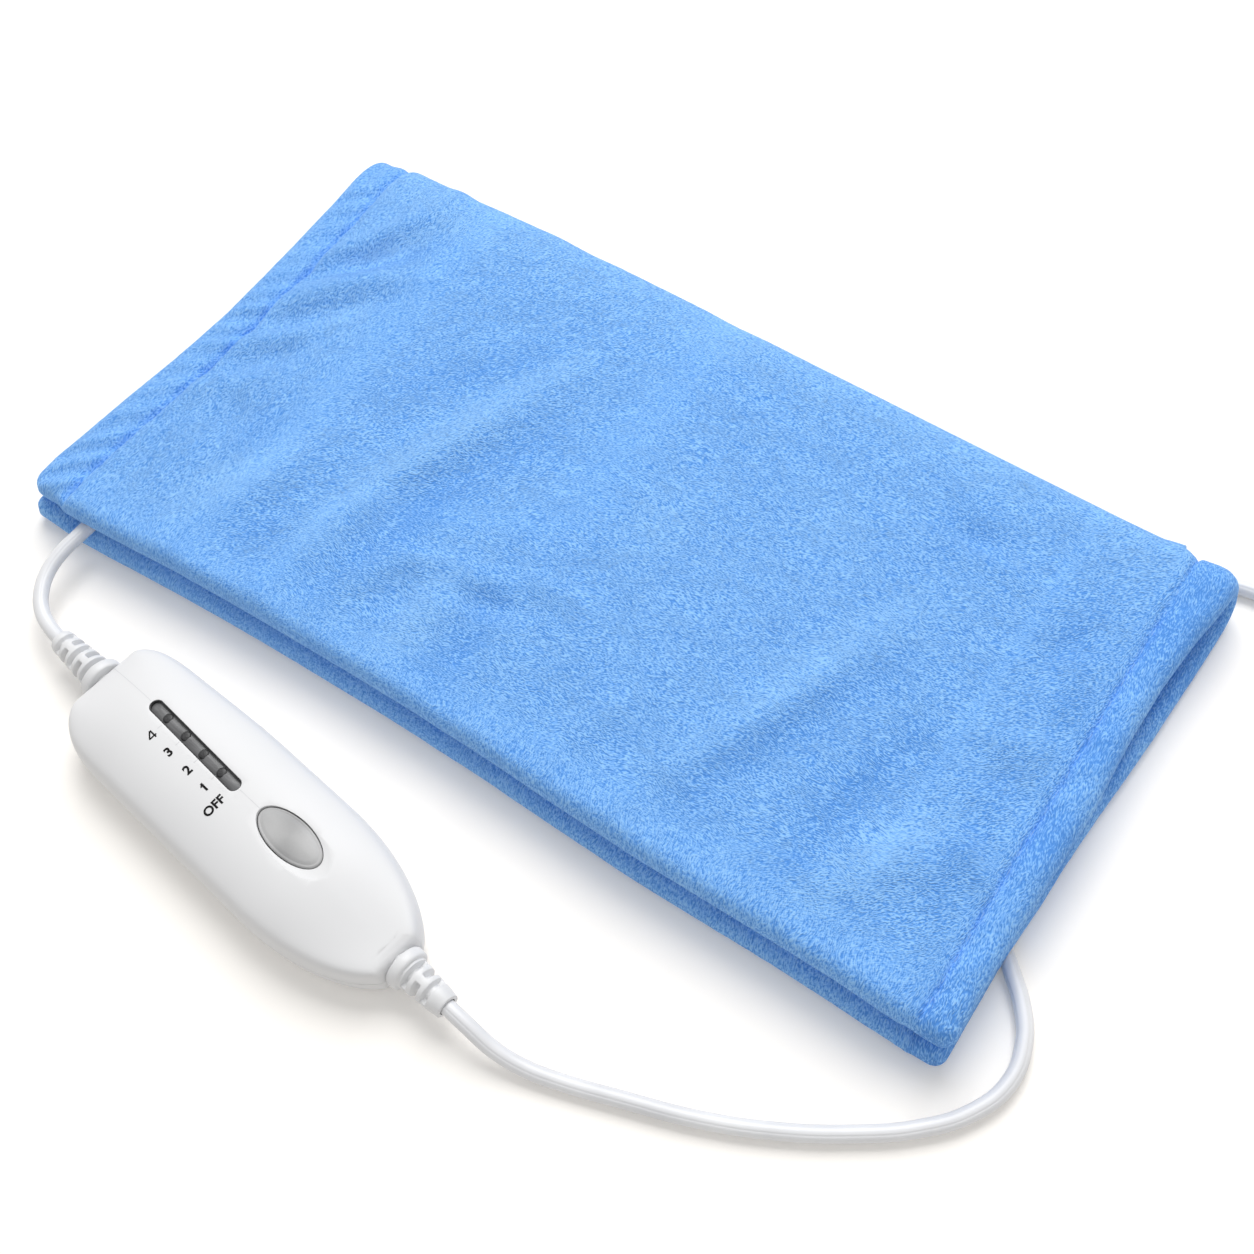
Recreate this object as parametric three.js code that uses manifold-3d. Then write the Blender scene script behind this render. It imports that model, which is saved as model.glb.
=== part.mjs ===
// Plush heating pad, folded in half, with its hand controller, leads and plug.
// Millimetres, +Z up. The origin is on the surface under the middle of the folded pad.
// +X runs along the pad's long side and +Y towards its fold.
import * as THREE from "three";
import { mergeVertices } from "three/addons/utils/BufferGeometryUtils.js";
import Module from "manifold-3d";

const wasm = await Module();
wasm.setup();

// Fits shared by all pieces
const fitGap = 0.3;
const runGap = 0.4;
const overrun = 2;

// Pad, folded
const padLength = 381;
const padDepth = 194;
const layerThick = 12.5;
const layerGap = 0.6;
const hemWidth = 17;
const hemThick = 8.8;
const seamWidth = 5;
const seamThick = 6.4;
const lowerHemThick = 10.4;
const lowerSeamThick = 9;
const puffRun = 12;
const crownDrop = 0.9;
const cornerRadius = 15;
const edgeRound = 6;
const endDrawnIn = 3.5;
const frontDrawnIn = 1.5;
const coverWall = 3.6;
const pocketEndMargin = 25;
const pocketFrontMargin = 12;
const foldStrip = 19;

// Heating panel in each half
const feltThick = 2.4;
const feltCorner = 9;
const feltMargin = 2;
const wireDiameter = 1.8;
const wirePitch = 17;
const wireEndMargin = 12;
const wireFrontMargin = 14;
const wireBackMargin = 8;
const cutOffLength = 22;
const cutOffWidth = 7;
const cutOffThick = 4.4;
const cutOffSpread = 190;

// Boot where the pad lead enters the cover
const bootEndMargin = 21.5;
const bootFrontMargin = 13;
const bootLength = 34;
const bootWidth = 13;
const bootNeckWidth = 8;
const bootThick = 6;

// Leads
const cordDiameter = 5.5;
const cordClearance = 0.65;

// Controller place on the surface
const controllerX = -43.5;
const controllerY = -151;
const controllerTurn = THREE.MathUtils.degToRad(-8.6);

// Controller housing, in its own frame: x from the pad end to the mains end
const housingLength = 152;
const housingWidth = 50;
const housingHeight = 24;
const shellWall = 2;
const partingHeight = 10.5;
const headRound = 31.5;
const headOvershoot = 0.5;
const tailRound = 54;
const tailOvershoot = 3;
const headFallShare = 0.18;
const tailFallShare = 0.39;
const tailFallRun = 42;
const faceShift = 3.8;

// Indicator window and lamps
const windowX = -25.3;
const windowRun = 42.4;
const windowWidth = 6.3;
const windowSink = 0.8;
const windowRidge = 0.9;
const windowLip = 1.8;
const windowLipThick = 1;
const lampFirstX = -40.4;
const lampPitch = 9.77;
const lampDiameter = 3;
const lampFlange = 0.4;
const lampHeight = 6.2;
const lampBase = 1;

// Push button and switch
const buttonX = 23.8;
const buttonLength = 32;
const buttonWidth = 16.8;
const buttonDome = 1.1;
const buttonSink = 0.6;
const buttonEdge = 0.6;
const buttonLip = 1.2;
const buttonLipDrop = 1.6;
const buttonLipThick = 1.4;
const buttonTravel = 1;
const stemDiameter = 5;
const dishLength = 37.6;
const dishWidth = 21.2;
const dishDepth = 1.4;
const dishShift = 2.5;
const switchSide = 6.2;
const switchHeight = 3.4;
const plungerDiameter = 3.2;
const plungerHeight = 2;
const plungerStand = 0.9;

// Circuit board
const boardHeadMargin = 23;
const boardTailMargin = 35;
const boardWidth = 30;
const boardThick = 1.6;
const boardDrop = 13;
const postDiameter = 5;
const pinDiameter = 2.2;
const pinStand = 1;
const postInset = 7;
const partSpace = 2;
const capacitorLength = 13;
const capacitorWidth = 6;
const capacitorHeight = 5.6;
const triacLength = 10;
const triacWidth = 7.5;
const triacHeight = 4;
const fuseLength = 9;
const fuseDiameter = 4;
const chipLength = 9;
const chipWidth = 5;
const chipHeight = 1.7;
const partsShift = 9;
const conductorDiameter = 1.6;
const conductorSpread = 5;

// Housing screws
const screwHeadMargin = 16;
const screwButtonMargin = 8.2;
const screwBoardMargin = 7;
const screwSpread = 12.5;
const screwHeadDiameter = 5.6;
const screwHeadThick = 2.2;
const screwDiameter = 2.6;
const screwRoof = 6.3;
const screwSink = 3.2;
const bossDiameter = 7.4;
const shelfThick = 2;

// Strain reliefs
const collarLength = 4.2;
const padCollarDiameter = 16;
const padReliefLength = 26.5;
const padReliefRoot = 12.6;
const mainsCollarDiameter = 12.6;
const mainsReliefLength = 20.5;
const mainsReliefRoot = 11.6;
const reliefTip = 9;
const reliefBoreGap = 0.3;
const reliefNeck = 9.2;
const reliefFlange = 11.6;
const flangeThick = 2;
const ribThick = 2.1;
const ribGap = 2;
const bridgeWidth = 3.4;
const cordStub = 5;

// Coil of the unseen mains lead
const coilX = 248;
const coilY = 162;
const coilRadius = 43.7;
const coilPitch = 5.95;
const coilTurnsIn = 3.5;
const coilTurnsOut = 3.25;
const tieThick = 0.8;
const tieWidth = 7;
const tieSlack = 0.8;
const tieTurnShare = 0.375;
const tailRun = 24;

// Plug
const plugWidth = 25;
const plugThick = 15;
const plugBodyLength = 24;
const plugBootLength = 24;
const plugBootRoot = 11;
const plugBootTip = 8;
const bladeSpacing = 12.7;
const bladeWidth = 6.3;
const bladeThick = 1.5;
const bladeLength = 17;
const bladeHole = 3.2;
const bladeSeat = 4;

// Counts of faces
const cordSides = 8;
const wireSides = 6;
const roundSides = 16;
const smallSides = 12;
const ovalSides = 32;
const coilSides = 6;
const coilSteps = 20;
const outlineSteps = 8;

// Sizes that follow
const foldHeight = layerThick + layerGap / 2;
const foldY = padDepth / 2 - foldHeight;
const frontY = -padDepth / 2;
const cordRadius = cordDiameter / 2;
const upperBase = layerThick + layerGap;
const bootX = bootEndMargin - padLength / 2;
const boardHeight = housingHeight - boardDrop;
const boardTop = boardHeight + boardThick;
const boardHeadX = boardHeadMargin - housingLength / 2;
const boardTailX = housingLength / 2 - boardTailMargin;
const screwHeadX = screwHeadMargin - housingLength / 2;
const screwTailX = Math.max(boardTailX + screwBoardMargin, buttonX + buttonLength / 2 + screwButtonMargin);

// Closed meshes and booleans
function welded(geometry) {
  const bare = geometry.clone();
  bare.deleteAttribute("normal");
  bare.deleteAttribute("uv");
  const merged = mergeVertices(bare);
  const index = merged.index.array;
  const kept = [];
  for (let i = 0; i < index.length; i += 3) {
    const [a, b, c] = [index[i], index[i + 1], index[i + 2]];
    if (a !== b && b !== c && c !== a) kept.push(a, b, c);
  }
  merged.setIndex(kept);
  return merged;
}

function solidOf(geometry) {
  const closed = welded(geometry);
  return new wasm.Manifold(
    new wasm.Mesh({
      numProp: 3,
      vertProperties: Float32Array.from(closed.attributes.position.array),
      triVerts: Uint32Array.from(closed.index.array),
    }),
  );
}

function geometryOf(solid) {
  const mesh = solid.getMesh();
  const geometry = new THREE.BufferGeometry();
  geometry.setAttribute("position", new THREE.BufferAttribute(Float32Array.from(mesh.vertProperties), 3));
  geometry.setIndex(Array.from(mesh.triVerts));
  return geometry;
}

function facesOf(points, faces) {
  const geometry = new THREE.BufferGeometry();
  geometry.setAttribute("position", new THREE.Float32BufferAttribute(points, 3));
  geometry.setIndex(faces);
  return welded(geometry);
}

// A closed skin over rings of equal counts, each ring turning left as seen from the last one
function skin(rings) {
  const size = rings[0].length;
  const points = rings.flat().flatMap((p) => [p.x, p.y, p.z]);
  const faces = [];
  for (let k = 0; k + 1 < rings.length; k += 1) {
    for (let i = 0; i < size; i += 1) {
      const a = k * size + i;
      const b = k * size + ((i + 1) % size);
      faces.push(a, b, b + size, a, b + size, a + size);
    }
  }
  const last = (rings.length - 1) * size;
  for (let i = 1; i + 1 < size; i += 1) {
    faces.push(0, i + 1, i);
    faces.push(last, last + i, last + i + 1);
  }
  return facesOf(points, faces);
}

// A closed slab between two height fields over one plan grid
function slab(columns, rows, topAt, bottomAt) {
  const points = [];
  const faces = [];
  const count = columns * rows;
  for (const at of [topAt, bottomAt]) {
    for (let i = 0; i < columns; i += 1) {
      for (let j = 0; j < rows; j += 1) points.push(...at(i, j));
    }
  }
  const id = (i, j, low) => i * rows + j + (low ? count : 0);
  const quad = (a, b, c, d) => faces.push(a, b, c, a, c, d);
  for (let i = 0; i + 1 < columns; i += 1) {
    for (let j = 0; j + 1 < rows; j += 1) {
      quad(id(i, j), id(i + 1, j), id(i + 1, j + 1), id(i, j + 1));
      quad(id(i, j, 1), id(i, j + 1, 1), id(i + 1, j + 1, 1), id(i + 1, j, 1));
    }
    quad(id(i, 0), id(i, 0, 1), id(i + 1, 0, 1), id(i + 1, 0));
    quad(id(i + 1, rows - 1), id(i + 1, rows - 1, 1), id(i, rows - 1, 1), id(i, rows - 1));
  }
  for (let j = 0; j + 1 < rows; j += 1) {
    quad(id(0, j + 1), id(0, j + 1, 1), id(0, j, 1), id(0, j));
    quad(id(columns - 1, j), id(columns - 1, j, 1), id(columns - 1, j + 1, 1), id(columns - 1, j + 1));
  }
  return facesOf(points, faces);
}

function block(x0, x1, y0, y1, z0, z1) {
  const geometry = new THREE.BoxGeometry(x1 - x0, y1 - y0, z1 - z0);
  return geometry.translate((x0 + x1) / 2, (y0 + y1) / 2, (z0 + z1) / 2);
}

function post(x, y, radius, z0, z1, sides = roundSides) {
  const geometry = new THREE.CylinderGeometry(radius, radius, z1 - z0, sides);
  return geometry.rotateX(Math.PI / 2).translate(x, y, (z0 + z1) / 2);
}

function polygon(radius, sides) {
  const shape = new THREE.Shape();
  for (let i = 0; i < sides; i += 1) {
    const a = (2 * Math.PI * i) / sides;
    if (i === 0) shape.moveTo(radius * Math.cos(a), radius * Math.sin(a));
    else shape.lineTo(radius * Math.cos(a), radius * Math.sin(a));
  }
  shape.closePath();
  return shape;
}

function tube(points, radius, sides, steps) {
  const curve = new THREE.CatmullRomCurve3(points, false, "centripetal");
  return new THREE.ExtrudeGeometry(polygon(radius, sides), { steps, bevelEnabled: false, extrudePath: curve });
}

function rounded(x0, x1, y0, y1, corner) {
  const shape = new THREE.Shape();
  shape.moveTo(x0 + corner, y0);
  shape.lineTo(x1 - corner, y0);
  shape.absarc(x1 - corner, y0 + corner, corner, -Math.PI / 2, 0, false);
  shape.lineTo(x1, y1 - corner);
  shape.absarc(x1 - corner, y1 - corner, corner, 0, Math.PI / 2, false);
  shape.lineTo(x0 + corner, y1);
  shape.absarc(x0 + corner, y1 - corner, corner, Math.PI / 2, Math.PI, false);
  shape.lineTo(x0, y0 + corner);
  shape.absarc(x0 + corner, y0 + corner, corner, Math.PI, 1.5 * Math.PI, false);
  return shape;
}

function plate(shape, z0, z1, curveSegments = 4) {
  const geometry = new THREE.ExtrudeGeometry(shape, { depth: z1 - z0, bevelEnabled: false, curveSegments });
  return geometry.translate(0, 0, z0);
}

const vec = (x, y, z) => new THREE.Vector3(x, y, z);
const smooth = (t) => THREE.MathUtils.smoothstep(t, 0, 1);

// A node: a named mesh with its own plain material
const looks = {
  plush: { color: 0x5c9bea, roughness: 0.95, metalness: 0 },
  felt: { color: 0xe8e6df, roughness: 0.95, metalness: 0 },
  wire: { color: 0xc96f4a, roughness: 0.6, metalness: 0 },
  shell: { color: 0xf1f1f2, roughness: 0.25, metalness: 0 },
  lead: { color: 0xe6e7e9, roughness: 0.45, metalness: 0 },
  silver: { color: 0xb9babb, roughness: 0.35, metalness: 0.2 },
  smoke: { color: 0x55575a, roughness: 0.15, metalness: 0 },
  lamp: { color: 0x3c3d3f, roughness: 0.3, metalness: 0 },
  board: { color: 0x1f6b3a, roughness: 0.6, metalness: 0 },
  black: { color: 0x26262a, roughness: 0.6, metalness: 0 },
  steel: { color: 0xb8bbbf, roughness: 0.35, metalness: 1 },
  brass: { color: 0xc9a65a, roughness: 0.3, metalness: 1 },
};

function node(group, name, geometry, look) {
  const bare = geometry.index ? geometry.toNonIndexed() : geometry.clone();
  bare.computeVertexNormals();
  const mesh = new THREE.Mesh(bare, new THREE.MeshStandardMaterial(looks[look]));
  mesh.name = name;
  group.add(mesh);
}

const model = new THREE.Group();
const controller = new THREE.Group();
controller.position.set(controllerX, controllerY, 0);
controller.rotation.z = controllerTurn;
model.add(controller);
controller.updateMatrixWorld(true);
const fromController = (x, y, z) => vec(x, y, z).applyMatrix4(controller.matrixWorld);

// Lead routes: the hand-chosen points of each free stretch
const padLeadStub = housingLength / 2 - 2 * shellWall - flangeThick - cordStub;
const mainsLeadStub = padLeadStub;
const padTipX = -(housingLength / 2 + padReliefLength);
const mainsTipX = housingLength / 2 + mainsReliefLength;
const leadZ = partingHeight;
const coilZ = tieThick + fitGap + cordRadius;
const bootFrontY = frontY + bootFrontMargin;

const padLeadRoute = [
  fromController(-padLeadStub, 0, leadZ),
  fromController((padTipX - padLeadStub) / 2, 0, leadZ),
  fromController(padTipX, 0, leadZ),
  vec(-152.5, -133.9, 10.7),
  vec(-159.6, -130.6, 11),
  vec(-165.2, -125, 11.5),
  vec(-168.8, -117.6, 12.1),
  vec(-169.9, -109.5, 12.6),
  vec(-169.5, -101, foldHeight),
  vec(bootX, -93, foldHeight),
  vec(bootX, bootFrontY - fitGap, foldHeight),
];

const mainsRoute = [
  fromController(mainsLeadStub, 0, leadZ),
  fromController((mainsTipX + mainsLeadStub) / 2, 0, leadZ),
  fromController(mainsTipX, 0, leadZ),
  vec(60.5, -166.6, 9.2),
  vec(70, -167.5, 6),
  vec(80, -166.7, 3.6),
  vec(92, -163.9, cordRadius),
  vec(110, -158.2, cordRadius),
  vec(133.4, -150.2, cordRadius),
  vec(154.6, -140.3, cordRadius),
  vec(173, -129, cordRadius),
  vec(187.5, -117.8, cordRadius),
  vec(198, -105.5, cordRadius),
  vec(203, -92, cordRadius),
  vec(201.3, -79.5, cordRadius),
  vec(195.5, -69.5, cordRadius),
  vec(187.3, -61, cordRadius),
  vec(179.5, -53, cordRadius),
  vec(174.5, -42, cordRadius),
  vec(172.4, -28, cordRadius),
  vec(172, -5, cordRadius),
  vec(172, 25, cordRadius),
  vec(172, 55, cordRadius),
  vec(172, 77.6, cordRadius),
  vec(173.7, 86, cordRadius),
  vec(178.4, 93.2, cordRadius),
  vec(185.6, 97.9, cordRadius),
  vec(192, 99.5, cordRadius),
  vec(198, 99.7, cordRadius),
  vec(205.3, 100.9, cordRadius + 0.1 * (coilZ - cordRadius)),
  vec(212, 104, cordRadius + 0.3 * (coilZ - cordRadius)),
  vec(217.4, 108.9, cordRadius + 0.5 * (coilZ - cordRadius)),
  vec(222.9, 113.9, cordRadius + 0.7 * (coilZ - cordRadius)),
  vec(229.6, 117.1, cordRadius + 0.9 * (coilZ - cordRadius)),
  vec(coilX - 2 * cordDiameter - fitGap, coilY - coilRadius, coilZ),
  vec(coilX - cordDiameter - fitGap, coilY - coilRadius, coilZ),
];

// Pad cover: one half is a slab with hems behind sewn grooves, rounded edges and corners
function thicknessAt(fromEnd, hem, seam, field) {
  const half = seamWidth / 2;
  if (fromEnd <= hemWidth - half) return hem;
  if (fromEnd <= hemWidth) return hem + (seam - hem) * smooth((fromEnd - hemWidth + half) / half);
  if (fromEnd <= hemWidth + puffRun) return seam + (field - seam) * Math.sin((Math.PI / 2) * ((fromEnd - hemWidth) / puffRun));
  return field;
}

const edgeShares = [0, 0.06, 0.22, 0.5, 1];
const puffShares = [0.14, 0.4, 1];
const fieldShares = [0.14, 0.3, 0.5, 0.7, 0.86];
const depthShares = [0.14, 0.34, 0.58, 0.8, 1];

function endStations() {
  const seam = [hemWidth - seamWidth / 2, hemWidth - seamWidth / 5, hemWidth];
  return [...edgeShares.map((s) => s * edgeRound), ...seam, ...puffShares.map((s) => hemWidth + s * puffRun)];
}

function lengthStations() {
  const near = endStations();
  const first = near[near.length - 1];
  const middle = fieldShares.map((s) => first + s * (padLength - 2 * first));
  return [...near, ...middle, ...near.map((d) => padLength - d).reverse()];
}

function depthStations(back) {
  const near = edgeShares.map((s) => s * edgeRound);
  const run = back - frontY - edgeRound;
  return [...near, ...depthShares.map((s) => edgeRound + s * run)];
}

function coverPlace(along, deep) {
  const side = along < padLength / 2 ? -1 : 1;
  let fromEnd = Math.min(along, padLength - along);
  let fromFront = deep;
  if (fromEnd < cornerRadius && fromFront < cornerRadius) {
    const a = cornerRadius - fromEnd;
    const b = cornerRadius - fromFront;
    const scale = Math.max(a, b) / Math.hypot(a, b);
    fromEnd = cornerRadius - a * scale;
    fromFront = cornerRadius - b * scale;
  }
  const depthShare = Math.min(deep / (foldY - frontY), 1);
  const mid = 4 * depthShare * (1 - depthShare);
  const inward = fromEnd + endDrawnIn * mid * (1 - (2 * fromEnd) / padLength);
  const share = 1 - ((2 * along) / padLength - 1) ** 2;
  const back = 1 - fromFront / (foldY - frontY);
  return [side * (padLength / 2 - inward), frontY + fromFront + frontDrawnIn * share * back];
}

const lowerHalf = { base: 0, hem: lowerHemThick, seam: lowerSeamThick, crown: 0 };
const upperHalf = { base: upperBase, hem: hemThick, seam: seamThick, crown: crownDrop };
const edgeHeightShare = 0.45;

// Underside and top of a half at a place, drawn together at its edges
function facesAt(half, along, deep) {
  const fromEnd = Math.min(along, padLength - along);
  const edge = Math.min(fromEnd, deep, edgeRound) / edgeRound;
  const fullness = Math.sqrt(1 - (1 - edge) ** 2);
  const rise = Math.sin(Math.PI * (along / padLength)) * Math.sin((Math.PI / 2) * (deep / padDepth + edgeHeightShare));
  const thick = thicknessAt(fromEnd, half.hem, half.seam, layerThick - half.crown * (1 - rise));
  const middle = half.base + thick * edgeHeightShare;
  return { low: middle + (half.base - middle) * fullness, high: middle + (half.base + thick - middle) * fullness };
}

function coverHalf(half, back) {
  const lengths = lengthStations();
  const depths = depthStations(back);
  const place = (i, j) => coverPlace(lengths[i], depths[j]);
  const faces = (i, j) => facesAt(half, lengths[i], depths[j]);
  const top = (i, j) => [...place(i, j), faces(i, j).high];
  const bottom = (i, j) => [...place(i, j), faces(i, j).low];
  return slab(lengths.length, depths.length, top, bottom);
}

const pocketHalf = padLength / 2 - pocketEndMargin;
const pocketFront = frontY + pocketFrontMargin;

const upperBack = foldY - foldStrip;

function pocket(base, back) {
  return block(-pocketHalf, pocketHalf, pocketFront, back + overrun, base + coverWall, base + layerThick - coverWall);
}

function bootOutline(slack) {
  const shape = new THREE.Shape();
  shape.moveTo(bootX - bootNeckWidth / 2 - slack, bootFrontY - slack);
  shape.lineTo(bootX + bootNeckWidth / 2 + slack, bootFrontY - slack);
  shape.lineTo(bootX + bootWidth / 2 + slack, bootFrontY + bootLength / 2);
  shape.lineTo(bootX + bootWidth / 2 + slack, bootFrontY + bootLength + slack);
  shape.lineTo(bootX - bootWidth / 2 - slack, bootFrontY + bootLength + slack);
  shape.lineTo(bootX - bootWidth / 2 - slack, bootFrontY + bootLength / 2);
  shape.closePath();
  return shape;
}

const bootRecess = plate(bootOutline(fitGap), foldHeight - bootThick / 2 - fitGap, foldHeight + bootThick / 2 + fitGap);
const padLeadSteps = 26;
const mainsSteps = 62;
const channelRadius = cordRadius + cordClearance;
const padLeadChannel = tube(padLeadRoute.slice(-7), channelRadius, smallSides, padLeadSteps / 2);
const mainsTunnel = tube(mainsRoute.slice(13), channelRadius, smallSides, mainsSteps / 2);

const lowerCover = solidOf(coverHalf(lowerHalf, foldY))
  .subtract(solidOf(pocket(0, foldY)))
  .subtract(solidOf(bootRecess))
  .subtract(solidOf(padLeadChannel))
  .subtract(solidOf(mainsTunnel));
node(model, "plush_cover_lower", geometryOf(lowerCover), "plush");

const upperCover = solidOf(coverHalf(upperHalf, upperBack))
  .subtract(solidOf(pocket(upperBase, upperBack)))
  .subtract(solidOf(bootRecess))
  .subtract(solidOf(padLeadChannel));
node(model, "plush_cover_upper", geometryOf(upperCover), "plush");

// Fold: the bend that joins the two halves along the back, and the strip of the upper half that bends with it
function coverFold() {
  const arcSteps = 8;
  const backFace = foldY + fitGap;
  const frontFace = upperBack + fitGap;
  const rings = [];
  for (const along of lengthStations().slice(1, -1)) {
    const fromEnd = Math.min(along, padLength - along);
    const edge = Math.min(fromEnd / edgeRound, 1);
    const fullness = Math.sqrt(1 - (1 - edge) ** 2);
    const { low } = facesAt(lowerHalf, along, foldY - frontY);
    const { low: base, high } = facesAt(upperHalf, along, foldY - frontY);
    const front = facesAt(upperHalf, along, upperBack - frontY);
    const [x] = coverPlace(along, foldY - frontY);
    const [frontX] = coverPlace(along, upperBack - frontY);
    const reach = foldHeight * (1 + fullness + (high - low) / (2 * foldHeight)) / 3;
    const ring = [vec(x, backFace, base)];
    for (let k = 0; k <= arcSteps; k += 1) {
      const a = Math.PI * (k / arcSteps - 1 / 2);
      ring.push(vec(x, backFace + reach * Math.cos(a), (high + low) / 2 + ((high - low) / 2) * Math.sin(a)));
    }
    ring.push(vec(frontX, frontFace, front.high), vec(frontX, frontFace, front.low));
    rings.push(ring);
  }
  return skin(rings);
}
const cover = solidOf(coverFold()).subtract(solidOf(mainsTunnel));
node(model, "plush_cover_fold", geometryOf(cover), "plush");

// Heating panels and the wire laid to and fro on each
const feltHalf = pocketHalf - feltMargin;
const feltFront = pocketFront + feltMargin;
const feltStand = coverWall + fitGap;
const wireStand = feltStand + feltThick + fitGap + wireDiameter / 2;

function wireRoute(base, back) {
  const half = feltHalf - wireEndMargin - wirePitch / 2;
  const first = feltFront + wireFrontMargin;
  const wireRuns = 1 + Math.floor((back - wireBackMargin - first) / wirePitch);
  const z = base + wireStand;
  const points = [vec(-half, first, z)];
  const arc = 4;
  for (let run = 0; run < wireRuns; run += 1) {
    const y = first + run * wirePitch;
    const side = run % 2 ? -1 : 1;
    points.push(vec(0, y, z), vec(side * half, y, z));
    if (run + 1 === wireRuns) break;
    for (let k = 1; k < arc; k += 1) {
      const a = Math.PI * (k / arc - 1 / 2);
      const swing = (wirePitch / 2) * Math.cos(a);
      points.push(vec(side * (half + swing), y + (wirePitch / 2) * (1 + Math.sin(a)), z));
    }
    points.push(vec(side * half, y + wirePitch, z));
  }
  return points;
}

// The wire's tube has one ring at each corner of its route, square to the way through it
function wireTube(route, radius, sides) {
  const rings = route.map((p, i) => {
    const before = route[Math.max(i - 1, 0)];
    const after = route[Math.min(i + 1, route.length - 1)];
    const way = after.clone().sub(before).normalize();
    const across = vec(-way.y, way.x, 0);
    const ring = [];
    for (let k = 0; k < sides; k += 1) {
      const a = (2 * Math.PI * k) / sides;
      ring.push(p.clone().addScaledVector(across, radius * Math.cos(a)).add(vec(0, 0, radius * Math.sin(a))));
    }
    return ring;
  });
  return skin(rings);
}

function heatingPanel(base, back, windows) {
  const outline = rounded(-feltHalf, feltHalf, feltFront, back - fitGap, feltCorner);
  let panel = solidOf(plate(outline, base + feltStand, base + feltStand + feltThick));
  for (const x of windows) panel = panel.subtract(solidOf(cutOffBody(x, base, fitGap, overrun)));
  return geometryOf(panel);
}

const cutOffY = feltFront + wireFrontMargin + 3.5 * wirePitch;
function cutOffBody(x, base, slack, deeper) {
  const half = cutOffLength / 2 + slack;
  const low = base + feltStand - deeper;
  const halfWidth = cutOffWidth / 2 + slack;
  const shape = rounded(x - half, x + half, cutOffY - halfWidth, cutOffY + halfWidth, cutOffWidth / 3);
  return plate(shape, low, base + feltStand + cutOffThick + deeper);
}

const cutOffPlaces = [-cutOffSpread / 2, cutOffSpread / 2];
node(model, "heating_panel_lower", heatingPanel(0, foldY, cutOffPlaces), "felt");
node(model, "heating_panel_upper", heatingPanel(upperBase, upperBack, []), "felt");
node(model, "heating_wire_lower", wireTube(wireRoute(0, foldY), wireDiameter / 2, wireSides), "wire");
node(model, "heating_wire_upper", wireTube(wireRoute(upperBase, upperBack), wireDiameter / 2, wireSides), "wire");
cutOffPlaces.forEach((x, i) => node(model, `thermal_cut_off_${i + 1}`, cutOffBody(x, 0, 0, 0), "black"));
const bootBody = plate(bootOutline(0), foldHeight - bootThick / 2, foldHeight + bootThick / 2);
node(model, "pad_lead_boot", bootBody, "lead");

// Leads
node(model, "pad_lead", tube(padLeadRoute, cordRadius, cordSides, padLeadSteps), "lead");
node(model, "mains_lead", tube(mainsRoute, cordRadius, cordSides, mainsSteps), "lead");

// Coil: in along the lower layer, up in the half turn where it reverses, out along the upper one
function coilPoint(turn) {
  const climbEnd = coilTurnsIn + 0.5;
  const inner = coilRadius - coilPitch * coilTurnsIn;
  const layer = smooth((turn - coilTurnsIn) / 0.5);
  let radius = inner + coilPitch * (turn - climbEnd);
  if (turn < coilTurnsIn + 0.25) radius = coilRadius - coilPitch * turn;
  else if (turn < climbEnd) radius = inner - coilPitch * (climbEnd - turn);
  const a = 2 * Math.PI * turn - Math.PI / 2;
  return vec(coilX + radius * Math.cos(a), coilY + radius * Math.sin(a), coilZ + coilPitch * layer);
}

const coilTurns = coilTurnsIn + 0.5 + coilTurnsOut;
const endAngle = 2 * Math.PI * coilTurns;
const endWay = vec(Math.cos(endAngle), Math.sin(endAngle), 0);

function coilLine() {
  const count = Math.round(coilTurns * coilSteps);
  const points = [coilPoint(0).add(vec(-cordDiameter, 0, 0))];
  for (let i = 0; i <= count; i += 1) points.push(coilPoint((coilTurns * i) / count));
  points.push(coilPoint(coilTurns).addScaledVector(endWay, cordDiameter));
  return points;
}

function coilGeometry(points) {
  const rings = points.map((p, i) => {
    const before = points[Math.max(i - 1, 0)];
    const after = points[Math.min(i + 1, points.length - 1)];
    let way = after.clone().sub(before).normalize();
    if (i < 2) way = vec(1, 0, 0);
    if (i > points.length - 3) way = endWay;
    const across = vec(-way.y, way.x, 0).normalize();
    const up = way.clone().cross(across);
    const ring = [];
    for (let k = 0; k < coilSides; k += 1) {
      const a = (2 * Math.PI * (k + 0.5)) / coilSides;
      const out = across.clone().multiplyScalar(cordRadius * Math.cos(a));
      ring.push(p.clone().add(out).addScaledVector(up, cordRadius * Math.sin(a)));
    }
    return ring;
  });
  return skin(rings);
}

const line = coilLine();
let coilGap = Infinity;
let coilLength = 0;
line.forEach((p, i) => {
  if (i > 0) coilLength += p.distanceTo(line[i - 1]);
  for (let k = i + Math.round(coilSteps / 2); k < line.length; k += 1) {
    coilGap = Math.min(coilGap, p.distanceTo(line[k]) - cordDiameter);
  }
});
console.log(`least gap of the coil to itself ${coilGap.toFixed(2)} mm, length ${coilLength.toFixed(0)} mm`);
node(model, "mains_lead_coil", coilGeometry(line), "lead");

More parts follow.
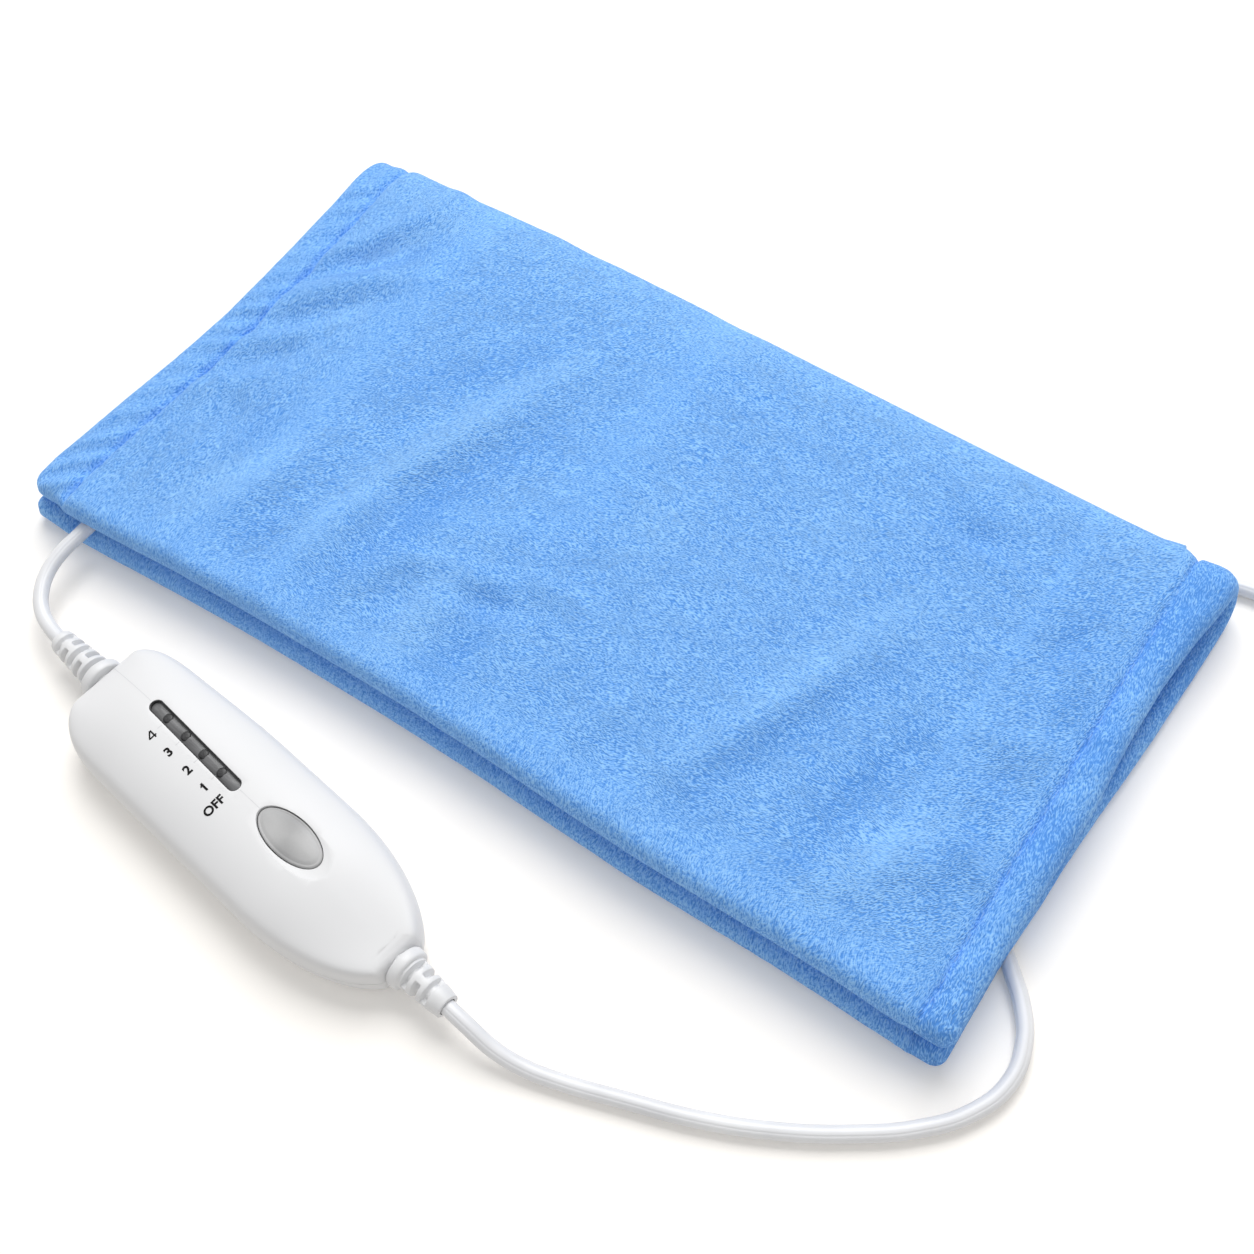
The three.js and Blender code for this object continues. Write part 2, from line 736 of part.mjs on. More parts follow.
// Tie round the coil, clear of its two ends and of the climb
const bundleOuter = coilRadius - coilPitch * tieTurnShare;
const bundleInner = bundleOuter - coilPitch * Math.floor(coilTurnsIn);
const bundleHeight = coilPitch + cordDiameter;
const holeIn = bundleInner - cordRadius - tieSlack;
const holeOut = bundleOuter + cordRadius + tieSlack;
const holeTop = bundleHeight + 2 * fitGap + tieThick;
const tieShape = rounded(holeIn - tieThick, holeOut + tieThick, 0, holeTop + tieThick, cordRadius);
tieShape.holes.push(rounded(holeIn, holeOut, tieThick, holeTop, cordRadius - tieThick));
const tie = plate(tieShape, -tieWidth / 2, tieWidth / 2).rotateX(Math.PI / 2);
tie.rotateZ(2 * Math.PI * tieTurnShare - Math.PI / 2).translate(coilX, coilY, 0);
node(model, "coil_tie", tie, "black");

// Lead's end: a short stretch from the coil to the plug, in a frame of its own with +X along it
const leadEnd = new THREE.Group();
const coilEnd = coilPoint(coilTurns);
leadEnd.position.set(coilEnd.x, coilEnd.y, 0);
leadEnd.rotation.z = endAngle;
model.add(leadEnd);
const plugZ = plugThick / 2;
const endStart = cordDiameter + fitGap;
const plugStart = endStart + tailRun;
const endRoute = [
  vec(endStart, 0, coilEnd.z),
  vec(endStart + cordDiameter, 0, coilEnd.z),
  vec(plugStart - cordDiameter, 0, plugZ),
  vec(plugStart - fitGap, 0, plugZ),
];
node(leadEnd, "mains_lead_end", tube(endRoute, cordRadius, cordSides, 6), "lead");

function boxRing(x, halfY, halfZ, corner) {
  const ring = [];
  const steps = 3;
  for (const [sy, sz, start] of [[1, 1, 0], [-1, 1, 1], [-1, -1, 2], [1, -1, 3]]) {
    for (let k = 0; k <= steps; k += 1) {
      const a = (Math.PI / 2) * (start + k / steps);
      const y = sy * (halfY - corner) + corner * Math.cos(a);
      ring.push(vec(x, y, plugZ + sz * (halfZ - corner) + corner * Math.sin(a)));
    }
  }
  return ring;
}

const plugNeck = plugStart + plugBootLength;
const plugFace = plugNeck + plugBodyLength;

function blade(side, slack) {
  const y = (side * bladeSpacing) / 2;
  const halfThick = bladeThick / 2 + slack;
  const halfWide = bladeWidth / 2 + slack;
  const low = plugFace - bladeSeat - slack;
  return block(low, plugFace + bladeLength + slack, y - halfThick, y + halfThick, plugZ - halfWide, plugZ + halfWide);
}

function plugBody() {
  const corner = plugThick / 3;
  const tip = plugBootTip / 2;
  const root = plugBootRoot / 2;
  const shoulder = plugBodyLength / 4;
  const halfWide = plugWidth / 2;
  const chamfer = shoulder / 5;
  const rings = [
    boxRing(plugStart, tip, tip, tip - fitGap / 4),
    boxRing(plugNeck - shoulder / 2, root, root, root - fitGap / 4),
    boxRing(plugNeck, halfWide * 0.62, plugZ * 0.86, corner),
    boxRing(plugNeck + shoulder / 2, halfWide * 0.86, plugZ, corner),
    boxRing(plugNeck + shoulder, halfWide, plugZ, corner),
    boxRing(plugFace - chamfer, halfWide, plugZ, corner),
    boxRing(plugFace, halfWide - chamfer, plugZ - chamfer, corner),
  ];
  let body = solidOf(skin(rings));
  for (const side of [-1, 1]) body = body.subtract(solidOf(blade(side, fitGap)));
  return geometryOf(body);
}

function holedBlade(side) {
  const hole = post(0, 0, bladeHole / 2, -bladeWidth, bladeWidth, smallSides);
  hole.rotateX(Math.PI / 2).translate(plugFace + bladeLength - bladeHole, (side * bladeSpacing) / 2, plugZ);
  return geometryOf(solidOf(blade(side, 0)).subtract(solidOf(hole)));
}
node(leadEnd, "plug_body", plugBody(), "lead");
node(leadEnd, "plug_blade_1", holedBlade(-1), "brass");
node(leadEnd, "plug_blade_2", holedBlade(1), "brass");

// Housing outline: a blunt head, straight sides and a long rounded tail, cut flat at both ends
const headPower = 3;
const tailPower = 2;
const halfLength = housingLength / 2;
const halfWidth = housingWidth / 2;
const headStart = -halfLength - headOvershoot + headRound;
const tailStartX = halfLength + tailOvershoot - tailRound;

function outline() {
  const side = [];
  const last = (power, run, over) => Math.asin(((run - over) / run) ** (power / 2));
  const tailAngle = last(tailPower, tailRound, tailOvershoot);
  const headAngle = last(headPower, headRound, headOvershoot);
  for (let i = 0; i <= outlineSteps; i += 1) {
    const a = tailAngle * (1 - i / outlineSteps);
    side.push([tailStartX + tailRound * Math.sin(a) ** (2 / tailPower), halfWidth * Math.cos(a) ** (2 / tailPower)]);
  }
  side.push([(tailStartX + headStart) / 2, halfWidth]);
  for (let i = 0; i <= outlineSteps; i += 1) {
    const a = (headAngle * i) / outlineSteps;
    side.push([headStart - headRound * Math.sin(a) ** (2 / headPower), halfWidth * Math.cos(a) ** (2 / headPower)]);
  }
  const loop = [...side, ...side.map(([x, y]) => [x, -y]).reverse()];
  return loop.map(([x, y], i) => {
    const [px, py] = loop[(i + loop.length - 1) % loop.length];
    const [nx, ny] = loop[(i + 1) % loop.length];
    const before = new THREE.Vector2(y - py, px - x).normalize();
    const after = new THREE.Vector2(ny - y, x - nx).normalize();
    const normal = before.clone().add(after).normalize();
    return { x, y, normal, mitre: 1 / normal.dot(before) };
  });
}

// How much of the full height the top has at a place along the housing
function topShare(x) {
  const tail = tailFallShare * smooth((x - halfLength + tailFallRun) / tailFallRun);
  const head = headFallShare * smooth((headStart - x) / headRound);
  return 1 - tail - head;
}

// Rings of the section: [inset as a share of half the width, height as a share]
const baseShares = [[0.27, 0], [0.14, 0.07], [0.05, 0.3], [0.012, 0.64], [0, 1]];
const sideShares = [[0.016, 0.24], [0.06, 0.47], [0.15, 0.67], [0.29, 0.83]];
const crownShares = [[0.66, 0.94], [0.33, 0.985], [0, 1]];

function housingSolid(wall) {
  const loop = outline();
  const keep = (housingHeight - 2 * wall) / housingHeight;
  const ringAt = (inset, spread, heightAt) =>
    loop.map(({ x, y, normal, mitre }) => {
      const near = 0.36 + 0.64 * Math.min(1, Math.abs(y) / halfWidth);
      const d = (wall + inset * halfWidth * near) * mitre;
      const z = heightAt(x);
      return vec(x - normal.x * d, (y - normal.y * d) * spread, wall + keep * z);
    });
  const upper = (share) => (x) => partingHeight + share * (housingHeight - partingHeight) * topShare(x);
  const ridge = sideShares[sideShares.length - 1][0];
  return skin([
    ringAt(baseShares[0][0], 0, () => 0),
    ...baseShares.map(([inset, share]) => ringAt(inset, 1, () => share * partingHeight)),
    ...sideShares.map(([inset, share]) => ringAt(inset, 1, upper(share))),
    ...crownShares.map(([spread, share]) => ringAt(ridge, spread, upper(share))),
  ]);
}

const outside = solidOf(housingSolid(0));
const inside = solidOf(housingSolid(shellWall));
const wide = housingLength;
const aboveParting = solidOf(block(-wide, wide, -wide, wide, partingHeight + fitGap / 2, wide));
const belowParting = solidOf(block(-wide, wide, -wide, wide, -wide, partingHeight - fitGap / 2));

const flangeAt = shellWall + 2 * fitGap;
function leadHole(side) {
  const neck = reliefNeck / 2 + fitGap;
  const flange = reliefFlange / 2 + fitGap;
  const deep = flangeAt - fitGap + 3 * flangeThick;
  const bore = new THREE.CylinderGeometry(neck, neck, 4 * shellWall, roundSides);
  const pocketHole = new THREE.CylinderGeometry(flange, flange, 3 * flangeThick, roundSides);
  pocketHole.translate(0, deep - 1.5 * flangeThick, 0);
  const turn = (side * Math.PI) / 2;
  bore.rotateZ(turn).translate(side * halfLength, 0, leadZ);
  pocketHole.rotateZ(turn).translate(side * halfLength, 0, leadZ);
  return solidOf(bore).add(solidOf(pocketHole));
}

const screwPlaces = [screwHeadX, screwTailX].flatMap((x) => [-1, 1].map((side) => [x, side * screwSpread]));
const boardPosts = [boardHeadX + postInset, boardTailX - postInset].flatMap((x) =>
  [-1, 1].map((side) => [x, side * (boardWidth / 2 - postInset / 2)]),
);
const screwSeat = screwSink + screwHeadThick + fitGap;
const shelfTop = screwSeat + shelfThick;
const screwTip = housingHeight - screwRoof;

// Ovals for the button, and the stadium of the window
function oval(x, y, a, b, z, sides = ovalSides) {
  const ring = [];
  for (let i = 0; i < sides; i += 1) {
    const t = (2 * Math.PI * i) / sides;
    ring.push(vec(x + a * Math.cos(t), y + b * Math.sin(t), z));
  }
  return ring;
}

function stadium(halfRun, radius, z) {
  const ring = [];
  const half = smallSides / 2;
  for (const end of [1, -1]) {
    for (let k = 0; k <= half; k += 1) {
      const a = Math.PI * (k / half - 1 / 2) + (end < 0 ? Math.PI : 0);
      ring.push(vec(windowX + end * halfRun + radius * Math.cos(a), faceShift + radius * Math.sin(a), z));
    }
  }
  return ring;
}

const windowHole = skin([
  stadium(windowRun / 2, windowWidth / 2, partingHeight + shellWall),
  stadium(windowRun / 2, windowWidth / 2, housingHeight + overrun),
]);
const buttonHole = skin([
  oval(buttonX, faceShift, buttonLength / 2 + runGap, buttonWidth / 2 + runGap, partingHeight + shellWall),
  oval(buttonX, faceShift, buttonLength / 2 + runGap, buttonWidth / 2 + runGap, housingHeight + overrun),
]);
const dish = new THREE.SphereGeometry(1, ovalSides, roundSides / 2)
  .rotateX(Math.PI / 2)
  .scale(dishLength / 2, dishWidth / 2, dishDepth)
  .translate(buttonX + dishShift, faceShift, housingHeight - fitGap / 2);

let upperShell = outside.intersect(aboveParting).subtract(inside);
for (const [x, y] of screwPlaces) {
  const boss = solidOf(post(x, y, bossDiameter / 2, shelfTop + fitGap, housingHeight - shellWall, smallSides));
  upperShell = upperShell.add(boss.intersect(outside));
}
upperShell = upperShell
  .subtract(leadHole(-1))
  .subtract(leadHole(1))
  .subtract(solidOf(windowHole))
  .subtract(solidOf(dish))
  .subtract(solidOf(buttonHole));
for (const [x, y] of screwPlaces) {
  const bore = post(x, y, screwDiameter / 2 + fitGap, 0, screwTip + fitGap, smallSides);
  upperShell = upperShell.subtract(solidOf(bore));
}
node(controller, "housing_upper", geometryOf(upperShell), "shell");

let lowerShell = outside.intersect(belowParting).subtract(inside).subtract(leadHole(-1)).subtract(leadHole(1));
for (const [x, y] of screwPlaces) {
  const tower = solidOf(post(x, y, screwHeadDiameter / 2 + shellWall, 0, shelfTop, smallSides));
  lowerShell = lowerShell.add(tower.intersect(outside));
}
for (const [x, y] of boardPosts) {
  lowerShell = lowerShell
    .add(solidOf(post(x, y, postDiameter / 2, shellWall / 2, boardHeight - fitGap, smallSides)))
    .add(solidOf(post(x, y, pinDiameter / 2, shellWall, boardTop + pinStand, smallSides)));
}
for (const [x, y] of screwPlaces) {
  lowerShell = lowerShell
    .subtract(solidOf(post(x, y, screwHeadDiameter / 2 + fitGap, -overrun, screwSeat, smallSides)))
    .subtract(solidOf(post(x, y, screwDiameter / 2 + fitGap, 0, shelfTop + overrun, smallSides)));
}
node(controller, "housing_lower", geometryOf(lowerShell), "shell");

// Housing screws, driven from below
screwPlaces.forEach(([x, y], i) => {
  const profile = [
    [0, screwSink],
    [screwHeadDiameter / 2, screwSink],
    [screwHeadDiameter / 2, screwSink + screwHeadThick],
    [screwDiameter / 2, screwSink + screwHeadThick],
    [screwDiameter / 2, screwTip - screwDiameter / 2],
    [0, screwTip],
  ].map(([r, z]) => new THREE.Vector2(r, z));
  const screw = new THREE.LatheGeometry(profile, smallSides).rotateX(Math.PI / 2).translate(x, y, 0);
  node(controller, `housing_screw_${i + 1}`, screw, "steel");
});

// Window lens: a stadium strip with a raised ridge and a lip under the shell
const windowTop = housingHeight - windowSink;
const lipTop = housingHeight - shellWall - 3 * fitGap;
const lensRun = windowRun / 2;
const lensRadius = windowWidth / 2 - fitGap;
const lens = skin([
  stadium(lensRun, lensRadius + windowLip, lipTop - windowLipThick),
  stadium(lensRun, lensRadius + windowLip, lipTop),
  stadium(lensRun, lensRadius, lipTop),
  stadium(lensRun, lensRadius, windowTop - windowRidge),
  stadium(lensRun - lensRadius / 2, lensRadius / 2, windowTop),
]);
node(controller, "window_lens", lens, "smoke");

// Indicator lamps
for (let i = 0; i < 4; i += 1) {
  const r = lampDiameter / 2;
  const profile = [
    [0, 0],
    [r + lampFlange, 0],
    [r + lampFlange, lampBase],
    [r, lampBase],
    [r, lampHeight - r],
    [r * Math.cos(Math.PI / 4), lampHeight - r + r * Math.sin(Math.PI / 4)],
    [0, lampHeight],
  ].map(([radius, z]) => new THREE.Vector2(radius, z));
  const lamp = new THREE.LatheGeometry(profile, smallSides).rotateX(Math.PI / 2);
  lamp.translate(lampFirstX + i * lampPitch, faceShift, boardTop + fitGap);
  node(controller, `lamp_${i + 1}`, lamp, "lamp");
}

// Push button: domed cap with a lip under the shell and a stem to the switch
const switchTop = boardTop + fitGap + switchHeight;
const stemFoot = switchTop + plungerStand + fitGap;
const capRim = housingHeight - buttonSink;
const capA = buttonLength / 2;
const capB = buttonWidth / 2;
const capLipTop = housingHeight - shellWall - buttonLipDrop;
const capRings = [
  [buttonLip, capLipTop - buttonLipThick],
  [buttonLip, capLipTop],
  [0, capLipTop],
  [0, capRim - buttonEdge],
  [-buttonEdge, capRim],
  [-capB * 0.35, capRim + buttonDome * 0.62],
  [-capB * 0.7, capRim + buttonDome * 0.95],
].map(([grow, z]) => oval(buttonX, faceShift, capA + grow, capB + grow, z));
const stem = post(buttonX, faceShift, stemDiameter / 2, stemFoot, capLipTop - buttonLipThick / 2, smallSides);
node(controller, "button_cap", geometryOf(solidOf(skin(capRings)).add(solidOf(stem))), "silver");

// Switch under the button
const plungerBottom = switchTop + plungerStand - plungerHeight;
const switchCase = solidOf(
  block(
    buttonX - switchSide / 2,
    buttonX + switchSide / 2,
    faceShift - switchSide / 2,
    faceShift + switchSide / 2,
    boardTop + fitGap,
    switchTop,
  ),
).subtract(
  solidOf(post(buttonX, faceShift, plungerDiameter / 2 + fitGap, plungerBottom - buttonTravel - fitGap, switchTop + overrun, smallSides)),
);
node(controller, "switch_case", geometryOf(switchCase), "black");
const plunger = post(buttonX, faceShift, plungerDiameter / 2, plungerBottom, switchTop + plungerStand, smallSides);
node(controller, "switch_plunger", plunger, "silver");

// Circuit board with its larger parts
let board = solidOf(
  plate(rounded(boardHeadX, boardTailX, -boardWidth / 2, boardWidth / 2, boardThick), boardHeight, boardTop),
);
for (const [x, y] of boardPosts) {
  board = board.subtract(solidOf(post(x, y, pinDiameter / 2 + fitGap, boardHeight - overrun, boardTop + overrun, smallSides)));
}
node(controller, "circuit_board", geometryOf(board), "board");

function onBoard(x, length, width, height) {
  const low = boardTop + fitGap;
  return block(x, x + length, -partsShift - width / 2, -partsShift + width / 2, low, low + height);
}
const capacitorX = boardHeadX + postInset + postDiameter / 2 + partSpace;
const triacX = capacitorX + capacitorLength + partSpace;
const chipX = triacX + triacLength + partSpace;
const fuseX = chipX + chipLength + partSpace;
node(controller, "film_capacitor", onBoard(capacitorX, capacitorLength, capacitorWidth, capacitorHeight), "wire");
node(controller, "triac", onBoard(triacX, triacLength, triacWidth, triacHeight), "black");
node(controller, "control_chip", onBoard(chipX, chipLength, chipWidth, chipHeight), "black");
const fuseZ = boardTop + fitGap + fuseDiameter / 2;
const fuse = new THREE.CylinderGeometry(fuseDiameter / 2, fuseDiameter / 2, fuseLength, smallSides);
fuse.rotateZ(Math.PI / 2).translate(fuseX + fuseLength / 2, -partsShift, fuseZ);
node(controller, "fuse", fuse, "brass");

// Two conductors from each lead to the board
for (const [end, label] of [[-1, "pad"], [1, "mains"]]) {
  [-1, 1].forEach((side, i) => {
    const from = end * (padLeadStub - fitGap);
    const to = end < 0 ? boardHeadX - fitGap : boardTailX + fitGap;
    const z = boardHeight + boardThick / 2;
    const run = [
      vec(from, (side * cordRadius) / 2, leadZ),
      vec(from + (to - from) * 0.3, (side * cordRadius) / 2, leadZ),
      vec(from + (to - from) * 0.7, side * conductorSpread, z),
      vec(to, side * conductorSpread, z),
    ];
    node(controller, `${label}_conductor_${i + 1}`, tube(run, conductorDiameter / 2, wireSides, 8), i ? "black" : "wire");
  });
}

// Strain reliefs: a collar on the housing's end and ribs joined by bridges in turn
function strainRelief(side, collar, root, length) {
  const bore = cordRadius + reliefBoreGap + fitGap / 4;
  const inner = -(flangeAt + flangeThick);
  const profile = [
    [bore, inner],
    [reliefFlange / 2, inner],
    [reliefFlange / 2, inner + flangeThick],
    [reliefNeck / 2, inner + flangeThick],
    [reliefNeck / 2, fitGap],
    [collar / 2, fitGap],
    [collar / 2 - fitGap, collarLength / 2],
    [root / 2, collarLength],
    [reliefTip / 2, length],
    [bore, length],
    [bore, inner],
  ].map(([r, s]) => new THREE.Vector2(r, s));
  let relief = solidOf(new THREE.LatheGeometry(profile, roundSides));
  const step = ribThick + ribGap;
  for (let k = 0; collarLength + fitGap + (k + 1) * step <= length + fitGap; k += 1) {
    const low = collarLength + fitGap + k * step;
    const slot = new THREE.CylinderGeometry(collar, collar, ribGap, roundSides).translate(0, low + ribGap / 2, 0);
    const turned = k % 2 === 0;
    const halfX = turned ? collar : bridgeWidth / 2;
    const halfZ = turned ? bridgeWidth / 2 : collar;
    const bridge = block(-halfX, halfX, low - ribGap, low + 2 * ribGap, -halfZ, halfZ);
    relief = relief.subtract(solidOf(slot).subtract(solidOf(bridge)));
  }
  const geometry = geometryOf(relief).rotateZ((-side * Math.PI) / 2).translate(side * halfLength, 0, leadZ);
  return geometry;
}
node(controller, "strain_relief_pad", strainRelief(-1, padCollarDiameter, padReliefRoot, padReliefLength), "lead");
node(controller, "strain_relief_mains", strainRelief(1, mainsCollarDiameter, mainsReliefRoot, mainsReliefLength), "lead");

export default model;
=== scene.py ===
# Plush heating pad folded in half, with its hand controller, leads and plug.
import math

import bpy
import numpy as np
from mathutils import Matrix, Vector, noise


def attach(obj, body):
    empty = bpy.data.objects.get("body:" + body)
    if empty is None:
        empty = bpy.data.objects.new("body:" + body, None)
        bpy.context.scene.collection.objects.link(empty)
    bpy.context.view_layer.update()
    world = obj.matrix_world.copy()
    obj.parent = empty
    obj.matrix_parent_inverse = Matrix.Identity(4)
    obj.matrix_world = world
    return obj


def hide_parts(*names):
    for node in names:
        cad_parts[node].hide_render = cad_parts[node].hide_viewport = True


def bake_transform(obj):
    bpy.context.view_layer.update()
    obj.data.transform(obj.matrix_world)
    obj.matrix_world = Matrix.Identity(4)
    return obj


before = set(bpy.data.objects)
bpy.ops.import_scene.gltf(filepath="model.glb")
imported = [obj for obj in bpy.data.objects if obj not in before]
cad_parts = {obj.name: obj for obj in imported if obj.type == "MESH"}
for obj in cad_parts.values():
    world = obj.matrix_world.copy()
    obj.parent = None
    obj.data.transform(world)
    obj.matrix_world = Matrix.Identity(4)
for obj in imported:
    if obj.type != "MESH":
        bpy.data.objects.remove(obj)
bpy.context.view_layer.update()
mm = 0.001
root = "pad_and_controller"


# Small helpers for edit work

def onlySelect(*pieces):
    bpy.ops.object.select_all(action="DESELECT")
    for piece in pieces:
        piece.select_set(True)
    bpy.context.view_layer.objects.active = pieces[-1]


def nameIt(name, piece=None):
    piece = piece or bpy.context.object
    piece.name = name
    piece.data.name = name
    return piece


def applyModifier(piece, kind, **settings):
    onlySelect(piece)
    modifier = piece.modifiers.new(kind.lower(), kind)
    for key, value in settings.items():
        setattr(modifier, key, value)
    bpy.ops.object.modifier_apply(modifier=modifier.name)


def cutWith(piece, rings, ends=(True, True)):
    cutter = ringStack("cutter", rings, ends)
    applyModifier(piece, "BOOLEAN", object=cutter, operation="DIFFERENCE", solver="EXACT")
    bpy.data.objects.remove(cutter, do_unlink=True)


def roundEdges(piece, width, degrees):
    applyModifier(piece, "BEVEL", width=width, segments=2, limit_method="ANGLE",
                  angle_limit=math.radians(degrees))


def joinAs(name, first, *others):
    onlySelect(*others, first)
    bpy.ops.object.join()
    return nameIt(name, first)


def pointsOf(piece):
    flat = np.zeros(len(piece.data.vertices) * 3)
    piece.data.vertices.foreach_get("co", flat)
    return flat.reshape(-1, 3)


def setPoints(piece, points):
    piece.data.vertices.foreach_set("co", np.asarray(points, float).ravel())
    piece.data.update()


def setPlaces(piece, x, y, z):
    setPoints(piece, np.stack([x, y, z], 1) * mm)


def copiesAt(base, places):
    made = []
    for x, y in places:
        other = base.copy()
        other.data = base.data.copy()
        bpy.context.collection.objects.link(other)
        setPoints(other, pointsOf(other) + np.array([x, y, 0]) * mm)
        made.append(other)
    bpy.data.objects.remove(base, do_unlink=True)
    return made


def outward(piece, merge=0.00001):
    onlySelect(piece)
    bpy.ops.object.mode_set(mode="EDIT")
    bpy.ops.mesh.select_all(action="SELECT")
    bpy.ops.mesh.remove_doubles(threshold=merge)
    bpy.ops.mesh.normals_make_consistent(inside=False)
    bpy.ops.object.mode_set(mode="OBJECT")


def smoothSides(piece, degrees):
    onlySelect(piece)
    bpy.ops.object.shade_smooth_by_angle(angle=math.radians(degrees))
    return piece


def atOrigin(piece):
    onlySelect(piece)
    bpy.ops.object.transform_apply(location=True, rotation=True, scale=True)
    return piece


def dress(piece, material, body, slot, *stands):
    piece.data.materials.clear()
    piece.data.materials.append(material)
    if body:
        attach(piece, body)
    if stands:
        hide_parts(*stands)
    return piece


def ease(t):
    t = np.clip(t, 0, 1)
    return t * t * (3 - 2 * t)


# Small helpers for materials

class Level:
    # One number of a pattern, and the sums made of it with nodes

    def __init__(self, finish, socket):
        self.finish, self.socket = finish, socket

    def calc(self, operation, other=0.5, clamp=False):
        return self.finish.level("Math", 0, {"operation": operation, "use_clamp": clamp}, i0=self, i1=other)

    def __add__(self, other):
        return self.calc("ADD", other)

    def __sub__(self, other):
        return self.calc("SUBTRACT", other)

    def __mul__(self, other):
        return self.calc("MULTIPLY", other)


class Finish:
    # A material, the nodes added to it and the patterns made with them

    def __init__(self, name, roughness=0.5, **values):
        self.material = bpy.data.materials.new(name)
        self.material.use_nodes = True
        self.tree = self.material.node_tree
        self.inputs = self.tree.nodes["Principled BSDF"].inputs
        for key, value in {"Roughness": roughness, **values}.items():
            self.inputs[key].default_value = value
        self.at = self.place()

    def feed(self, socket, value):
        if isinstance(value, Level):
            value = value.socket
        if isinstance(value, bpy.types.NodeSocket):
            self.tree.links.new(value, socket)
        else:
            socket.default_value = value

    def node(self, kind, settings=(), **inputs):
        node = self.tree.nodes.new("ShaderNode" + kind)
        for key, value in dict(settings).items():
            setattr(node, key, value)
        for key, value in inputs.items():
            self.feed(node.inputs[int(key[1:]) if key[1:].isdigit() else key], value)
        return node

    def level(self, kind, output, settings=(), **inputs):
        return Level(self, self.node(kind, settings, **inputs).outputs[output])

    def place(self, scale=(1, 1, 1), turn=0, move=(0, 0, 0), kind="POINT", source=None):
        # Object coordinates, or source, turned about z; with the kind TEXTURE they are divided by scale
        source = source or self.node("TexCoord").outputs["Object"]
        return self.node("Mapping", {"vector_type": kind}, Vector=source, Location=move,
                         Rotation=(0, 0, turn), Scale=scale).outputs["Vector"]

    def noise(self, scale, detail=2.0, roughness=0.5, distortion=0.0, place=None):
        if isinstance(scale, tuple):
            scale, place = 1.0, self.place(scale)
        return self.level("TexNoise", "Fac", Vector=place or self.at, Scale=scale, Detail=detail,
                          Roughness=roughness, Distortion=distortion)

    def attribute(self, name):
        return self.level("Attribute", "Fac", {"attribute_name": name})

    def paint(self, level, *stops):
        node = self.node("ValToRGB", Fac=level)
        ramp = node.color_ramp
        while len(ramp.elements) < len(stops):
            ramp.elements.new(0.5)
        for element, (position, colour) in zip(ramp.elements, stops):
            element.position = position
            element.color = (*colour, 1)
        self.feed(self.inputs["Base Color"], node.outputs["Color"])

    def bump(self, height, distance, strength):
        bump = self.node("Bump", Height=height, Distance=distance, Strength=strength)
        self.feed(self.inputs["Normal"], bump.outputs["Normal"])


def mottled(name, roughness, dark, light, grain, bump=None, low=0.3, **values):
    # Two close shades over a noise. Grain is the noise's scale and detail; bump adds depth and strength
    finish = Finish(name, roughness, **values)
    finish.paint(finish.noise(*grain), (low, dark), (1 - low, light))
    if bump:
        finish.bump(finish.noise(*bump[:2]), *bump[2:])
    return finish.material


# Camera

cameraFrame = {
    "place": (0.22033, -0.23745, 0.49418),
    "right": (0.82068, 0.5644, -0.08909),
    "down": (0.45109, -0.73568, -0.50527),
    "forward": (-0.35072, 0.37448, -0.85835),
    "lens": 47.37,
}


def makeCamera():
    bpy.ops.object.camera_add(location=cameraFrame["place"])
    camera = bpy.context.object
    camera.data.lens = cameraFrame["lens"]
    camera.data.sensor_width = 36
    camera.data.clip_start = 0.01
    right, down, forward = (Vector(cameraFrame[key]).normalized() for key in ("right", "down", "forward"))
    turn = Matrix((right, -down, -forward)).transposed()
    camera.matrix_world = Matrix.Translation(cameraFrame["place"]) @ turn.to_4x4()
    bpy.context.scene.camera = camera


makeCamera()
print("camera placed")


# Leads

leadValues = {
    "diameter": 5.5,
    "padLeadLength": 0.1029,
    "mainsLeadLength": 1.975,
    "coilCentre": (248, 162),
    "coilRadius": 43.7,
    "coilPitch": 5.95,
    "turnsIn": 3.5,
    "turnsOut": 3.25,
    "climb": 0.5,
    "coilHeight": 3.85,
    "plugAxis": 7.5,
    "tailRun": 24,
    "white": (0.83, 0.835, 0.85),
    "shade": (0.74, 0.745, 0.765),
}

padLeadRoute = [
    (-107.77, -141.28, 10.5), (-117, -139.88, 10.5), (-126.31, -138.48, 10.5), (-136, -137.01, 10.5),
    (-144.85, -135.67, 10.5), (-152.5, -133.9, 10.7), (-159.6, -130.6, 11), (-165.2, -125, 11.5),
    (-168.8, -117.6, 12.1), (-169.9, -109.5, 12.6), (-169.5, -101, 12.8), (-169, -93, 12.8),
    (-169, -84.3, 12.8),
]

# The mains lead leaves the controller, lies on the floor, and climbs on to the coil
floorRun = [
    (92, -163.9), (110, -158.2), (133.4, -150.2), (154.6, -140.3), (173, -129), (187.5, -117.8),
    (198, -105.5), (203, -92), (201.3, -79.5), (195.5, -69.5), (187.3, -61), (179.5, -53), (174.5, -42),
    (172.4, -28), (172, -5), (172, 25), (172, 55), (172, 77.6), (173.7, 86), (178.4, 93.2), (185.6, 97.9),
    (192, 99.5), (198, 99.7),
]
mainsRoute = [
    (20.77, -160.72, 10.5), (28.5, -161.89, 10.5), (36.34, -163.08, 10.5), (44.1, -164.25, 10.5),
    (51.91, -165.43, 10.5), (60.5, -166.6, 9.2), (70, -167.5, 6), (80, -166.7, 3.6),
] + [(x, y, 2.75) for x, y in floorRun] + [
    (205.3, 100.9, 2.86), (212, 104, 3.08), (217.4, 108.9, 3.3), (222.9, 113.9, 3.52), (229.6, 117.1, 3.74),
    (236.7, 118.3, 3.85), (242.2, 118.3, 3.85),
]


